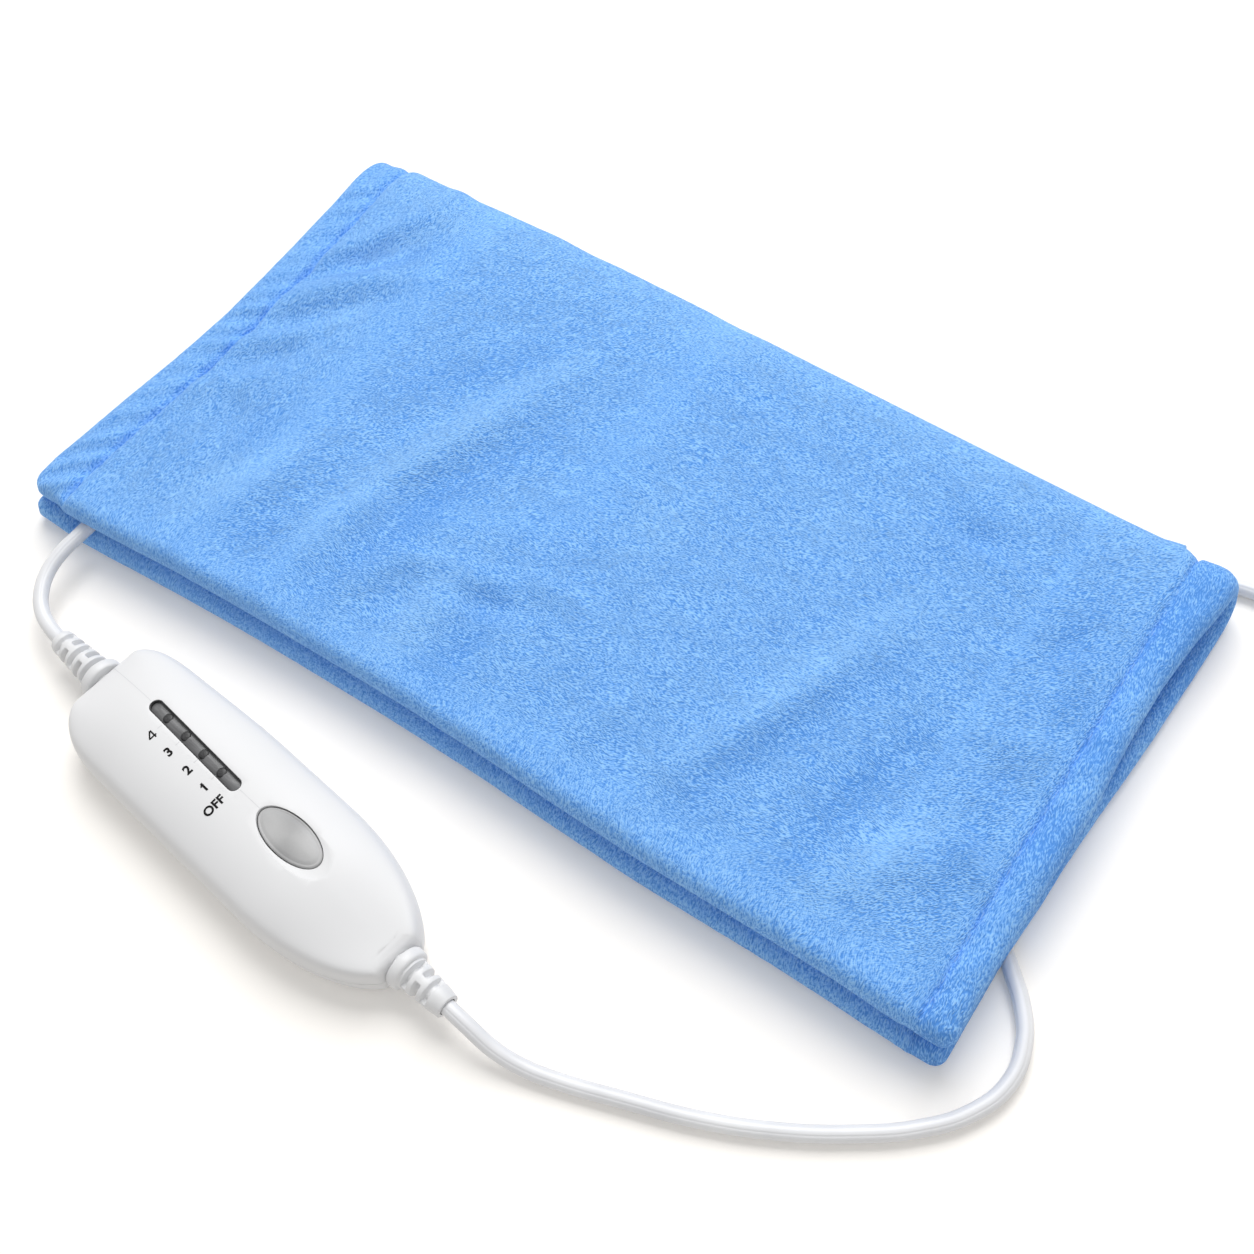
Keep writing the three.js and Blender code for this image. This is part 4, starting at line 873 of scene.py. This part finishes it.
def ringStack(name, rings, ends=(False, False)):
    # A circle extruded ring by ring, then each ring set in its place and the ends filled
    count = len(rings[0])
    bpy.ops.mesh.primitive_circle_add(vertices=count, radius=1)
    piece = nameIt(name)
    bpy.ops.object.mode_set(mode="EDIT")
    bpy.ops.mesh.select_all(action="SELECT")
    for _ in rings[1:]:
        bpy.ops.mesh.extrude_region_move(TRANSFORM_OT_translate={"value": (0, 0, 1)})
    bpy.ops.object.mode_set(mode="OBJECT")
    points, data = pointsOf(piece), piece.data
    level = np.rint(points[:, 2]).astype(int)
    turn = np.arctan2(-points[:, 0], points[:, 1]) / (2 * math.pi)
    step = np.rint(turn * count).astype(int) % count
    setPoints(piece, np.asarray(rings, float)[level, step] * mm)
    for filled, which in zip(ends, (0, len(rings) - 1)):
        if filled:
            for parts in (data.polygons, data.edges):
                parts.foreach_set("select", np.full(len(parts), False))
            data.vertices.foreach_set("select", level == which)
            onlySelect(piece)
            bpy.ops.object.mode_set(mode="EDIT")
            bpy.context.tool_settings.mesh_select_mode = (True, False, False)
            bpy.ops.mesh.edge_face_add()
            bpy.ops.object.mode_set(mode="OBJECT")
    outward(piece)
    return piece


def turnsOf(count):
    return [2 * math.pi * i / count for i in range(count)]


def ovalRing(x, y, a, b, z, count=96):
    return [(x + a * math.cos(t), y + b * math.sin(t), z) for t in turnsOf(count)]


def slotRing(radius, z, shorter=0.0, count=64):
    # Two half circles and the straight sides between them, turned with the slot
    slot, made = controllerValues["slot"], []
    turn = math.radians(slot["turn"])
    (mx, my), c, s = slot["middle"], math.cos(turn), math.sin(turn)
    for i, (x, y, _) in enumerate(ovalRing(0, 0, radius, radius, z, count)):
        x += (slot["halfRun"] - shorter) * (1 if i < count // 4 or i >= 3 * (count // 4) else -1)
        made.append((mx + x * c - y * s, my + x * s + y * c, z))
    return made


def buttonRing(grow, z):
    b = controllerValues["button"]
    return ovalRing(*b["middle"], b["a"] + grow, b["b"] + grow, z)


def roundRing(x, radiusAt, count=96):
    # A ring about the leads' axis; radiusAt gives its radius at an angle
    return [(x, radiusAt(t) * math.cos(t), controllerValues["parting"] + radiusAt(t) * math.sin(t))
            for t in turnsOf(count)]


def turnedPost(name, x, y, profile, loop=False):
    rings = [ovalRing(x, y, r, r, z, 32) for r, z in profile]
    return ringStack(name, rings + rings[:1] if loop else rings, (not loop, not loop))


def controllerPoint(x, y):
    turn = math.radians(controllerValues["turn"])
    px, py = controllerValues["place"]
    return px + x * math.cos(turn) - y * math.sin(turn), py + x * math.sin(turn) + y * math.cos(turn)


def toController(piece):
    piece.rotation_euler = (0, 0, math.radians(controllerValues["turn"]))
    piece.location = (controllerValues["place"][0] * mm, controllerValues["place"][1] * mm, 0)
    return atOrigin(piece)


def farDraw(x, y):
    # The side towards the pad draws in near the head
    return 1 - controllerValues["headDraw"] * ease((-8 - x) / 60) if y > 0 else 1


def housingLoop(count=40):
    # The plan, point by point: x, y, the normal out of it and how far a corner stretches an inset
    v = controllerValues

    def sideOf(power, sign):
        tailAngle = math.asin((v["tailRound"] - v["tailOver"]) / v["tailRound"])
        headAngle = math.asin(((v["headRound"] - v["headOver"]) / v["headRound"]) ** (power / 2))
        side = []
        for i in range(count + 1):
            a = tailAngle * (1 - i / count)
            side.append((tailStart + v["tailRound"] * math.sin(a), sign * halfWide * math.cos(a)))
        for i in range(1, 8):
            side.append((tailStart + (headStart - tailStart) * i / 8, sign * halfWide))
        for i in range(count + 1):
            a = headAngle * i / count
            x = headStart - v["headRound"] * math.sin(a) ** (2 / power)
            side.append((x, sign * halfWide * math.cos(a) ** (2 / power)))
        return [(x, y * farDraw(x, y)) for x, y in side]

    loop = sideOf(v["headPowers"][0], 1) + sideOf(v["headPowers"][1], -1)[::-1]
    out = []
    for i, (x, y) in enumerate(loop):
        (px, py), (nx, ny) = loop[i - 1], loop[(i + 1) % len(loop)]
        before = Vector((y - py, px - x)).normalized()
        after = Vector((ny - y, x - nx)).normalized()
        normal = (before + after).normalized()
        out.append((x, y, normal.x, normal.y, 1 / max(normal.dot(before), 0.5)))
    return out


def topShare(x):
    # The top falls towards both ends
    v = controllerValues
    tail = v["tailFall"] * ease((x - halfLong + v["tailRun"]) / v["tailRun"])
    return 1 - tail - v["headFall"] * ease((headStart - x) / v["headRound"])


def housingEdge(x, y):
    # How far the plan reaches to the side at one place
    v, wide = controllerValues, halfWide * farDraw(x, y)
    power = v["headPowers"][0 if y > 0 else 1]
    if x > tailStart:
        return wide * math.sqrt(max(1 - ((x - tailStart) / v["tailRound"]) ** 2, 0))
    if x < headStart:
        return wide * max(1 - min((headStart - x) / v["headRound"], 1) ** power, 0) ** (1 / power)
    return wide


def topHeightAt(x, y, wall=0.0):
    # A steep side, a soft shoulder, then a low crown
    v = controllerValues
    toSide, toEnd = max(housingEdge(x, y) - abs(y) - wall, 0.001), max(halfLong - abs(x) - wall, 0.001)
    toEdge = (toSide ** -4 + toEnd ** -4) ** -0.25
    rise = (v["height"] - v["parting"]) * topShare(x) - wall
    side = min(v["shoulder"] - wall / 2, 0.9 * rise)
    crown = 1 - (1 - min(toEdge / (halfWide - wall), 1)) ** v["crown"]
    return v["parting"] + side * (1 - math.exp(-toEdge / v["shoulderRound"])) + (rise - side) * crown


def housingRings(lower, wall=0.0):
    v, loop = controllerValues, housingLoop()
    rim = v["parting"] + v["partingGap"] / 2 * (-1 if lower else 1)

    def ring(inset, spread, heightAt):
        plan = []
        for x, y, nx, ny, mitre in loop:
            d = (inset + wall) * mitre
            plan.append((x - nx * d, (y - ny * d) * spread))
        if not spread:
            # Both sides share their points on the middle line, which closes the shell
            plan = [((x + plan[-1 - i][0]) / 2, 0.0) for i, (x, _) in enumerate(plan)]
        return [(x, y, heightAt(x, y)) for x, y in plan]

    def topAt(x, y):
        return topHeightAt(x, y, wall)

    if lower:
        rings = []
        for inset in (0.1, 0.25, 0.5, 0.85, 1.3, 1.9, 2.6, v["bottomRound"]):
            drop = (1 - (1 - inset / v["bottomRound"]) ** 2.2) ** (1 / 2.2)
            rings.append(ring(inset, 1, lambda x, y: rim - (rim - wall) * drop))
        rings += [ring(v["bottomRound"], s, lambda x, y: wall) for s in (0.75, 0.5, 0.25, 0)]
    else:
        rings = [ring(inset, 1, lambda x, y: max(topAt(x, y), rim + 0.05))
                 for inset in (0.12, 0.3, 0.55, 0.9, 1.4, 2.1, 3.1, 4.4, 6.0)]
        rings += [ring(6.0, s, topAt) for s in (0.9, 0.79, 0.67, 0.54, 0.4, 0.26, 0.12, 0)]
    first = [ring(0, 1, lambda x, y: rim + (2 if lower else -2))] if wall else []
    return first + [ring(0, 1, lambda x, y: rim)] + rings


def makeShell(name, lower):
    # The two shells stand 0.3 apart at the parting line
    piece = ringStack(name, housingRings(lower), (True, False))
    cutWith(piece, housingRings(lower, controllerValues["wall"]), (True, False))
    return piece


def cutLeadHoles(piece):
    for side in (-1, 1):
        hole = controllerValues["leadHole"]
        cutWith(piece, [roundRing(side * (halfLong + x), lambda t: r, 48) for x, r in hole])


def finishShell(piece, *others):
    joinAs(piece.name, piece, *others)
    roundEdges(piece, 0.00022, 50)
    return toController(smoothSides(piece, 38))


def makeUpperShell():
    v = controllerValues
    slot, button, dish = v["slot"], v["button"], v["dish"]
    piece = makeShell("housingUpper", False)
    cutWith(piece, [slotRing(slot["radius"], z) for z in (12.5, 26)])
    x, y = button["middle"][0] + dish["shift"], button["middle"][1]
    rings = [ovalRing(x, y, dish["a"], dish["b"], 27)]
    for a in [math.pi / 2 * k / 10 for k in range(10)]:
        height = dish["rim"] - dish["depth"] * math.sin(a)
        rings.append(ovalRing(x, y, dish["a"] * math.cos(a), dish["b"] * math.cos(a), height))
    cutWith(piece, rings)
    cutWith(piece, [buttonRing(button["gap"], z) for z in (12.5, 27)])
    cutLeadHoles(piece)
    # The bosses end below the top's outer face
    boss = turnedPost("boss", 0, 0, [(1.6, 8.4), (3.7, 8.4), (3.7, 21.6), (1.6, 21.6)], loop=True)
    bosses = copiesAt(boss, v["screws"])
    for other, (x, y) in zip(bosses, v["screws"]):
        points = pointsOf(other)
        points[:, 2] = np.minimum(points[:, 2], (topHeightAt(x, y) - 2.4) * mm)
        setPoints(other, points)
    return finishShell(piece, *bosses)


def makeLowerShell():
    v = controllerValues
    piece = makeShell("housingLower", True)
    cutLeadHoles(piece)
    for x, y in v["screws"]:
        cutWith(piece, [ovalRing(x, y, 3.1, 3.1, z, 32) for z in (-2, 5.7)])
    tower = [(3.1, 1.2), (3.1, 5.7), (1.6, 5.7), (1.6, 8.1), (4.8, 8.1), (4.8, 1.2)]
    post = [(2.5, 1.2), (2.5, 10.7), (1.1, 10.7), (1.1, 13.3), (0.8, 13.6)]
    made = copiesAt(turnedPost("tower", 0, 0, tower, loop=True), v["screws"])
    return finishShell(piece, *made, *copiesAt(turnedPost("post", 0, 0, post), v["posts"]))


shellWhite = mottled("glossyWhiteShell", 0.4, (0.765, 0.767, 0.775), (0.785, 0.786, 0.793), (28,),
                     (420, 2, 0.00003, 0.35), low=0.25, **{"Specular IOR Level": 0.27})
dress(makeUpperShell(), shellWhite, root, "shell", "housing_upper")
dress(makeLowerShell(), shellWhite, root, "shell", "housing_lower")
print("housing made")


# Window, lamps and button

windowValues = {
    "glass": (0.13, 0.131, 0.134),
    "glassLight": (0.19, 0.191, 0.195),
    "lampDark": (0.018, 0.018, 0.019),
    "lampLight": (0.05, 0.05, 0.052),
    "lampFirst": -15.1,
    "lampPitch": 9.77,
    "lampProfile": [(1.75, 21.8), (1.75, 22.75), (1.55, 22.98), (1.15, 23.1), (0.6, 23.16), (0.15, 23.17)],
    # Rings of the painted shade in the window's gap: how far in and how high
    "gapShadeRing": [(0.03, 21.9), (0.03, 23.4), (0.12, 23.5), (0.42, 23.3), (0.42, 21.9), (0.03, 21.9)],
}


def lensMaterial():
    v = windowValues
    finish = Finish("smokyWindow", 0.3, **{"Specular IOR Level": 0.25})
    place = finish.place((0.008, 0.0011, 0.003), math.radians(controllerValues["turn"]), kind="TEXTURE")
    finish.paint(finish.noise(1.0, 3, place=place), (0.35, v["glass"]), (0.65, v["glassLight"]))
    finish.bump(finish.noise(900), 0.00002, 0.4)
    return finish.material


def makeLens():
    r = controllerValues["slot"]["radius"] - 0.08
    rings = [slotRing(*values) for values in (
        (r + 1.6, 20.1), (r + 1.6, 21.1), (r, 21.1), (r, 22.0), (r - 0.12, 22.15),
        (0.5, 22.95, 1.7), (0.32, 23.0, 1.9), (0.06, 23.0, 2.1))]
    return toController(smoothSides(ringStack("windowLens", rings, (True, True)), 12))


def makeGapShade():
    # A thin dark ring round the window, painted shade standing in for the shaded gap between window and shell
    r = controllerValues["slot"]["radius"]
    rings = [slotRing(r - inwards, z) for inwards, z in windowValues["gapShadeRing"]]
    return toController(smoothSides(ringStack("windowGapShade", rings), 40))


def lampMaterial():
    v = windowValues
    finish = Finish("lampAndGapShade", 0.35, **{"Specular IOR Level": 0.3})
    swirl = finish.level("TexVoronoi", "Distance", Vector=finish.at, Scale=1500.0)
    finish.paint(swirl, (0.1, v["lampDark"]), (0.8, v["lampLight"]))
    return finish.material


def makeLamps():
    # The lamps' heads show through the window as round dark domes on its ridge
    v, slot = windowValues, controllerValues["slot"]
    dome = ringStack("lampHead", [ovalRing(0, 0, r, r, z, 32) for r, z in v["lampProfile"]], (True, True))
    x, y = slot["middle"]
    ways = [v["lampFirst"] + v["lampPitch"] * i for i in range(4)]
    heads = copiesAt(dome, [(x + way, y + way * math.tan(math.radians(slot["turn"]))) for way in ways])
    return toController(smoothSides(joinAs("lampHeads", *heads), 40))


dress(makeLens(), lensMaterial(), root, "lens", "window_lens")
lampAndGapShade = lampMaterial()
# The lamps' dark finish also paints the shade in the window's gap
dress(makeGapShade(), lampAndGapShade, root, "lens")
dress(makeLamps(), lampAndGapShade, root, "lamp")

buttonValues = {
    "grey": (0.50, 0.50, 0.50),
    # The dark side of the button's painted reflection fans
    "darker": (0.345, 0.345, 0.347),
    "side": [(1.2, 19.0), (1.2, 20.4), (0, 20.4), (0, 22.7), (-0.12, 23.0), (-0.35, 23.2), (-0.6, 23.25),
             (-0.8, 23.2), (-1.0, 23.22), (-1.2, 23.3)],
    "top": 23.3,
    "crown": 0.75,
    "stem": (23.8, 3.8, [(2.5, 17.6), (2.5, 19.6)]),
}


def buttonMaterial():
    v = buttonValues
    finish = Finish("satinButton", 0.5, **{"Specular IOR Level": 0.3})
    # Painted reflection: soft light and dark fans round the middle, like the light a spun cap reflects
    x, y = controllerPoint(*controllerValues["button"]["middle"])
    place = finish.place((1, 1, 0), move=(-x * mm, -y * mm, 0))
    acrossX, acrossY = (finish.level("SeparateXYZ", axis, Vector=place) for axis in "XY")
    reflectionFans = (acrossY.calc("ARCTAN2", acrossX) * 2.0 + 0.9).calc("SINE")
    away = finish.level("VectorMath", "Value", {"operation": "LENGTH"}, i0=place)
    reflectionFans = reflectionFans * away.calc("MULTIPLY", 160.0, True) * 0.4 + 0.5
    spun = finish.noise(1200, 3, place=place)
    finish.paint(reflectionFans * 0.85 + spun * 0.15, (0.15, v["darker"]), (0.85, v["grey"]))
    finish.bump(spun, 0.00002, 0.4)
    return finish.material


def makeButton():
    v, b = buttonValues, controllerValues["button"]["b"]
    shares = (0.28, 0.4, 0.54, 0.68, 0.82, 0.93, 0.985)
    crown = [(-b * s, v["top"] + v["crown"] * (1 - (1 - s) ** 2)) for s in shares]
    piece = ringStack("buttonCap", [buttonRing(grow, z) for grow, z in v["side"] + crown], (True, True))
    joinAs("buttonCap", piece, turnedPost("stem", *v["stem"]))
    return toController(smoothSides(piece, 40))


buttonSatin = buttonMaterial()
dress(makeButton(), buttonSatin, "button", "button", "button_cap")
print("window and button made")


# Strain reliefs: a collar, then ribs joined by bridges that turn by a quarter from gap to gap

reliefValues = {
    "pad": {"side": -1, "collar": 8.0, "root": 6.3, "length": 26.5},
    "mains": {"side": 1, "collar": 7.3, "root": 5.8, "length": 20.5},
    "neck": [(-6.4, 3.1), (-6.4, 5.4), (-6.1, 5.8), (-4.7, 5.8), (-4.4, 5.5), (-4.4, 4.6), (0.15, 4.6)],
    "collarLength": 4.2,
    "tip": 4.5,
    "rib": 2.1,
    "gap": 2.0,
    "bridge": 3.4,
    "groove": 3.1,
}


def makeRelief(name, kind):
    v, own = reliefValues, reliefValues[kind]
    first, last, c = v["collarLength"], own["length"], own["collar"]

    def outer(d):
        return own["root"] + (v["tip"] - own["root"]) * min(max((d - first) / (last - first), 0), 1)

    def radiusAt(angle, radius, quarter=None):
        if quarter is None:
            return radius
        away = abs((angle - quarter * math.pi / 2 + math.pi / 2) % math.pi - math.pi / 2) * radius
        bridge = 1 - ease((away - v["bridge"] / 2 + 0.3) / 0.6)
        return v["groove"] + (radius - 0.12 - v["groove"]) * bridge

    # Distance, radius and, in the gaps, the bridges' quarter. First the neck and flange inside the shell
    stations = v["neck"] + [(0.15, c - 0.7), (0.35, c - 0.25), (0.75, c)]
    stations += [(first - 0.9, c), (first - 0.35, c - 0.3), (first, c - 0.9), (first + 0.05, outer(0))]
    place, quarter = first + 0.9, 0
    stations.append((place, outer(place)))
    while place + v["gap"] + v["rib"] <= last + 0.3:
        end = place + v["gap"]
        rib = min(end + v["rib"], last)
        stations += [(place + 0.3, outer(place), quarter), (end - 0.3, outer(end), quarter),
                     (end + 0.25, outer(end)), (rib - 0.25, outer(rib))]
        place, quarter = rib, 1 - quarter
    stations += [(last - 0.05, outer(last) - 0.25), (last, outer(last) - 0.6), (last, 3.0)]
    rings = [roundRing(own["side"] * (halfLong + d), lambda t: radiusAt(t, *rest)) for d, *rest in stations]
    piece = ringStack(name, rings)
    roundEdges(piece, 0.0003, 48)
    return toController(smoothSides(piece, 45))


softWhite = mottled("softWhiteRelief", 0.42, (0.73, 0.733, 0.742), (0.785, 0.788, 0.797), (90, 3),
                    (1100, 2, 0.00005, 0.5))
dress(makeRelief("reliefPad", "pad"), softWhite, root, "lead_cover", "strain_relief_pad")
dress(makeRelief("reliefMains", "mains"), softWhite, root, "lead_cover", "strain_relief_mains")
print("strain reliefs made")


# Printed scale, and thin grey lines and ticks laid on the top

printValues = {
    "digits": [("3", -29.6, -3.6), ("2", -19.6, -3.6), ("1", -10.6, -3.8)],
    "flag": ((-12.15, -3.9), (-11.2, -4.7)),
    "four": [((-40.7, -2.95), (-38.25, -4.85)), ((-38.2, -4.95), (-38.2, -2.0)),
             ((-40.7, -2.75), (-37.3, -2.75))],
    "off": ("OFF", -3.1, -6.0),
    "digitHeight": 3.4,
    "offHeight": 3.2,
    "ticks": [-39.3, -29.8, -20.1, -11.0],
    "greyLines": [((-74, 4.6), (-49.6, 4.6)), ((-0.9, 3.3), (8.9, 3.3))],
    "ink": (0.006, 0.006, 0.006),
    "inkLight": (0.012, 0.012, 0.012),
    "line": (0.60, 0.605, 0.62),
    "lineLight": (0.66, 0.6655, 0.682),
}


def wordAt(text, x, y, height):
    bpy.ops.object.text_add()
    letters = bpy.context.object.data
    letters.body = text
    letters.align_x, letters.align_y = "CENTER", "CENTER"
    letters.size = height / 0.72 * mm
    letters.offset = 0.045 * height * mm
    letters.extrude = 0.00003
    letters.space_character = 1.04
    bpy.ops.object.convert(target="MESH")
    piece = nameIt("print" + text)
    piece.rotation_euler = (0, 0, math.pi / 2)
    piece.location = (x * mm, y * mm, 0)
    return atOrigin(piece)


def stripBetween(start, end, wide, pieces=24):
    bpy.ops.mesh.primitive_grid_add(x_subdivisions=pieces, y_subdivisions=1, size=1)
    strip = nameIt("strip")
    points, run = pointsOf(strip), math.dist(start, end)
    (ax, ay), ux, uy = start, (end[0] - start[0]) / run, (end[1] - start[1]) / run
    along, across = (points[:, 0] + 0.5) * run, points[:, 1] * wide
    setPlaces(strip, ax + ux * along - uy * across, ay + uy * along + ux * across, np.zeros(len(points)))
    return strip


def layOnTop(name, made, stand):
    piece = joinAs(name, *made)
    points = pointsOf(piece) / mm
    points[:, 2] = [topHeightAt(x, y) + stand + z for x, y, z in points]
    setPoints(piece, points * mm)
    return toController(piece)


def makePrint():
    # The figure one gets a flag, and the four is three strips
    v = printValues
    made = [wordAt(text, x, y, v["digitHeight"]) for text, x, y in v["digits"]]
    made.append(wordAt(*v["off"], v["offHeight"]))
    made.append(stripBetween(*v["flag"], 0.5, 3))
    made += [stripBetween(start, end, 0.54, 3) for start, end in v["four"]]
    return layOnTop("printedScale", made, 0.05)


def makeLines():
    made = [stripBetween((x, -0.6), (x, 1.2), 0.16, 4) for x in printValues["ticks"]]
    made += [stripBetween(start, end, 0.14) for start, end in printValues["greyLines"]]
    return layOnTop("fineLines", made, 0.03)


for make, name, dark, light in ((makePrint, "printInk", "ink", "inkLight"),
                                (makeLines, "fineLineGrey", "line", "lineLight")):
    ink = mottled(name, 0.6, printValues[dark], printValues[light], (2500,), **{"Specular IOR Level": 0.1})
    dress(make(), ink, root, "shell")
print("print laid")


# Finishes of the CAD pieces that stay

def coat(material, *names):
    for name in names:
        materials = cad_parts[name].data.materials
        materials.clear()
        materials.append(material)


def plainPlastic(name, colour, darker, roughness, grain=900, depth=0.00004):
    return mottled(name, roughness, darker, colour, (70, 3), (grain, 3, depth, 0.5))


def brushedMetal(name, colour, darker, roughness):
    scratches = ((300, 5000, 5000), 3)
    return mottled(name, roughness, darker, colour, scratches, (*scratches, 0.00002, 0.5), Metallic=1.0)


def feltMaterial():
    finish = Finish("needledFelt", 0.95, **{"Sheen Weight": 0.2})
    fibres = finish.noise(1.0, 4, 0.6, 1.5, finish.place((900, 2600, 1500), 0.5))
    finish.paint(fibres, (0.35, (0.62, 0.6, 0.55)), (0.65, (0.86, 0.85, 0.8)))
    finish.bump(fibres + finish.noise(400), 0.0004, 0.8)
    return finish.material


def boardMaterial():
    finish = Finish("circuitBoard", 0.4)
    place = finish.place(turn=0.15)
    tracks = finish.node("TexBrick", Vector=place, Scale=220.0, Color1=(0.02, 0.16, 0.06, 1),
                         Color2=(0.03, 0.21, 0.08, 1), Mortar=(0.06, 0.32, 0.13, 1))
    mix = finish.node("Mix", {"data_type": "RGBA"}, i0=finish.noise(90, 3, place=place) * 0.4,
                      i6=tracks.outputs["Color"], i7=(0.02, 0.12, 0.05, 1))
    finish.feed(finish.inputs["Base Color"], mix.outputs[2])
    finish.bump(tracks.outputs["Fac"], 0.00005, 0.5)
    return finish.material


coat(softWhite, "plug_body", "pad_lead_boot")
coat(buttonSatin, "switch_plunger")
coat(lampAndGapShade, *(f"lamp_{i}" for i in (1, 2, 3, 4)))
coat(feltMaterial(), "heating_panel_lower", "heating_panel_upper")
coat(plainPlastic("wireCover", (0.62, 0.2, 0.1), (0.48, 0.14, 0.07), 0.5, 1500),
     "heating_wire_lower", "heating_wire_upper")
coat(plainPlastic("blackPlastic", (0.03, 0.03, 0.034), (0.016, 0.016, 0.018), 0.45),
     "thermal_cut_off_1", "thermal_cut_off_2", "switch_case", "triac", "control_chip")
coat(plainPlastic("tieStrap", (0.045, 0.045, 0.05), (0.02, 0.02, 0.022), 0.6, 1800, 0.0001), "coil_tie")
coat(plainPlastic("filmCapacitor", (0.7, 0.1, 0.05), (0.5, 0.07, 0.03), 0.3), "film_capacitor")
coat(boardMaterial(), "circuit_board")
coat(brushedMetal("screwSteel", (0.66, 0.67, 0.69), (0.45, 0.46, 0.48), 0.3),
     *(f"housing_screw_{i}" for i in (1, 2, 3, 4)))
coat(brushedMetal("platedBrass", (0.8, 0.64, 0.34), (0.6, 0.46, 0.22), 0.28),
     "plug_blade_1", "plug_blade_2", "fuse")
coat(plainPlastic("conductorCover", (0.75, 0.72, 0.66), (0.62, 0.58, 0.5), 0.4),
     *(f"{end}_conductor_{i}" for end in ("pad", "mains") for i in (1, 2)))
print("finishes on")


# Room

roomValues = {
    "floorSize": 6,
    "floorTint": (0.955, 0.925, 0.882),
    "floorShade": (0.950225, 0.920375, 0.87759),
    "floorLift": 0.13,
    "keyPower": 35,
    "keyPlace": (-0.42, 1.0, 1.7),
    "keySize": 1.4,
    "fillPower": 1.0,
    "fillPlace": (0.75, -0.55, 0.9),
    "fillSize": 1.0,
    "worldLevel": 0.46,
}


def cameraGlossyTransmission(tree):
    path = tree.nodes.new("ShaderNodeLightPath")
    total = path.outputs["Is Camera Ray"]
    for name in ("Is Glossy Ray", "Is Transmission Ray"):
        add = tree.nodes.new("ShaderNodeMath")
        add.operation = "MAXIMUM"
        tree.links.new(total, add.inputs[0])
        tree.links.new(path.outputs[name], add.inputs[1])
        total = add.outputs[0]
    return total


def makeRoom():
    v = roomValues
    bpy.ops.mesh.primitive_plane_add(size=v["floorSize"], location=(0, 0, -0.0004))
    floor = nameIt("floor")
    finish = Finish("paleFloor", 0.7, **{"Specular IOR Level": 0.1, "Emission Color": (1, 1, 1, 1)})
    finish.paint(finish.noise(3), (0.2, v["floorShade"]), (0.8, v["floorTint"]))
    seen = Level(finish, cameraGlossyTransmission(finish.tree))
    finish.feed(finish.inputs["Emission Strength"], seen * v["floorLift"])
    floor.data.materials.append(finish.material)
    for name in ("key", "fill"):
        place = v[name + "Place"]
        bpy.ops.object.light_add(type="AREA", location=place)
        lamp = bpy.context.object
        lamp.name = name + "Lamp"
        lamp.data.energy = v[name + "Power"]
        lamp.data.size = v[name + "Size"]
        lamp.rotation_euler = (-Vector(place)).to_track_quat("-Z", "Y").to_euler()
    world = bpy.data.worlds.new("studio")
    bpy.context.scene.world = world
    world.use_nodes = True
    tree = world.node_tree
    background = tree.nodes["Background"]
    background.inputs["Color"].default_value = (1, 1, 1, 1)
    level = tree.nodes.new("ShaderNodeMapRange")
    tree.links.new(cameraGlossyTransmission(tree), level.inputs["Value"])
    level.inputs["To Min"].default_value = v["worldLevel"]
    level.inputs["To Max"].default_value = 1.0
    tree.links.new(level.outputs["Result"], background.inputs["Strength"])
    bpy.context.scene.view_settings.view_transform = "Standard"


makeRoom()
print("room lit")
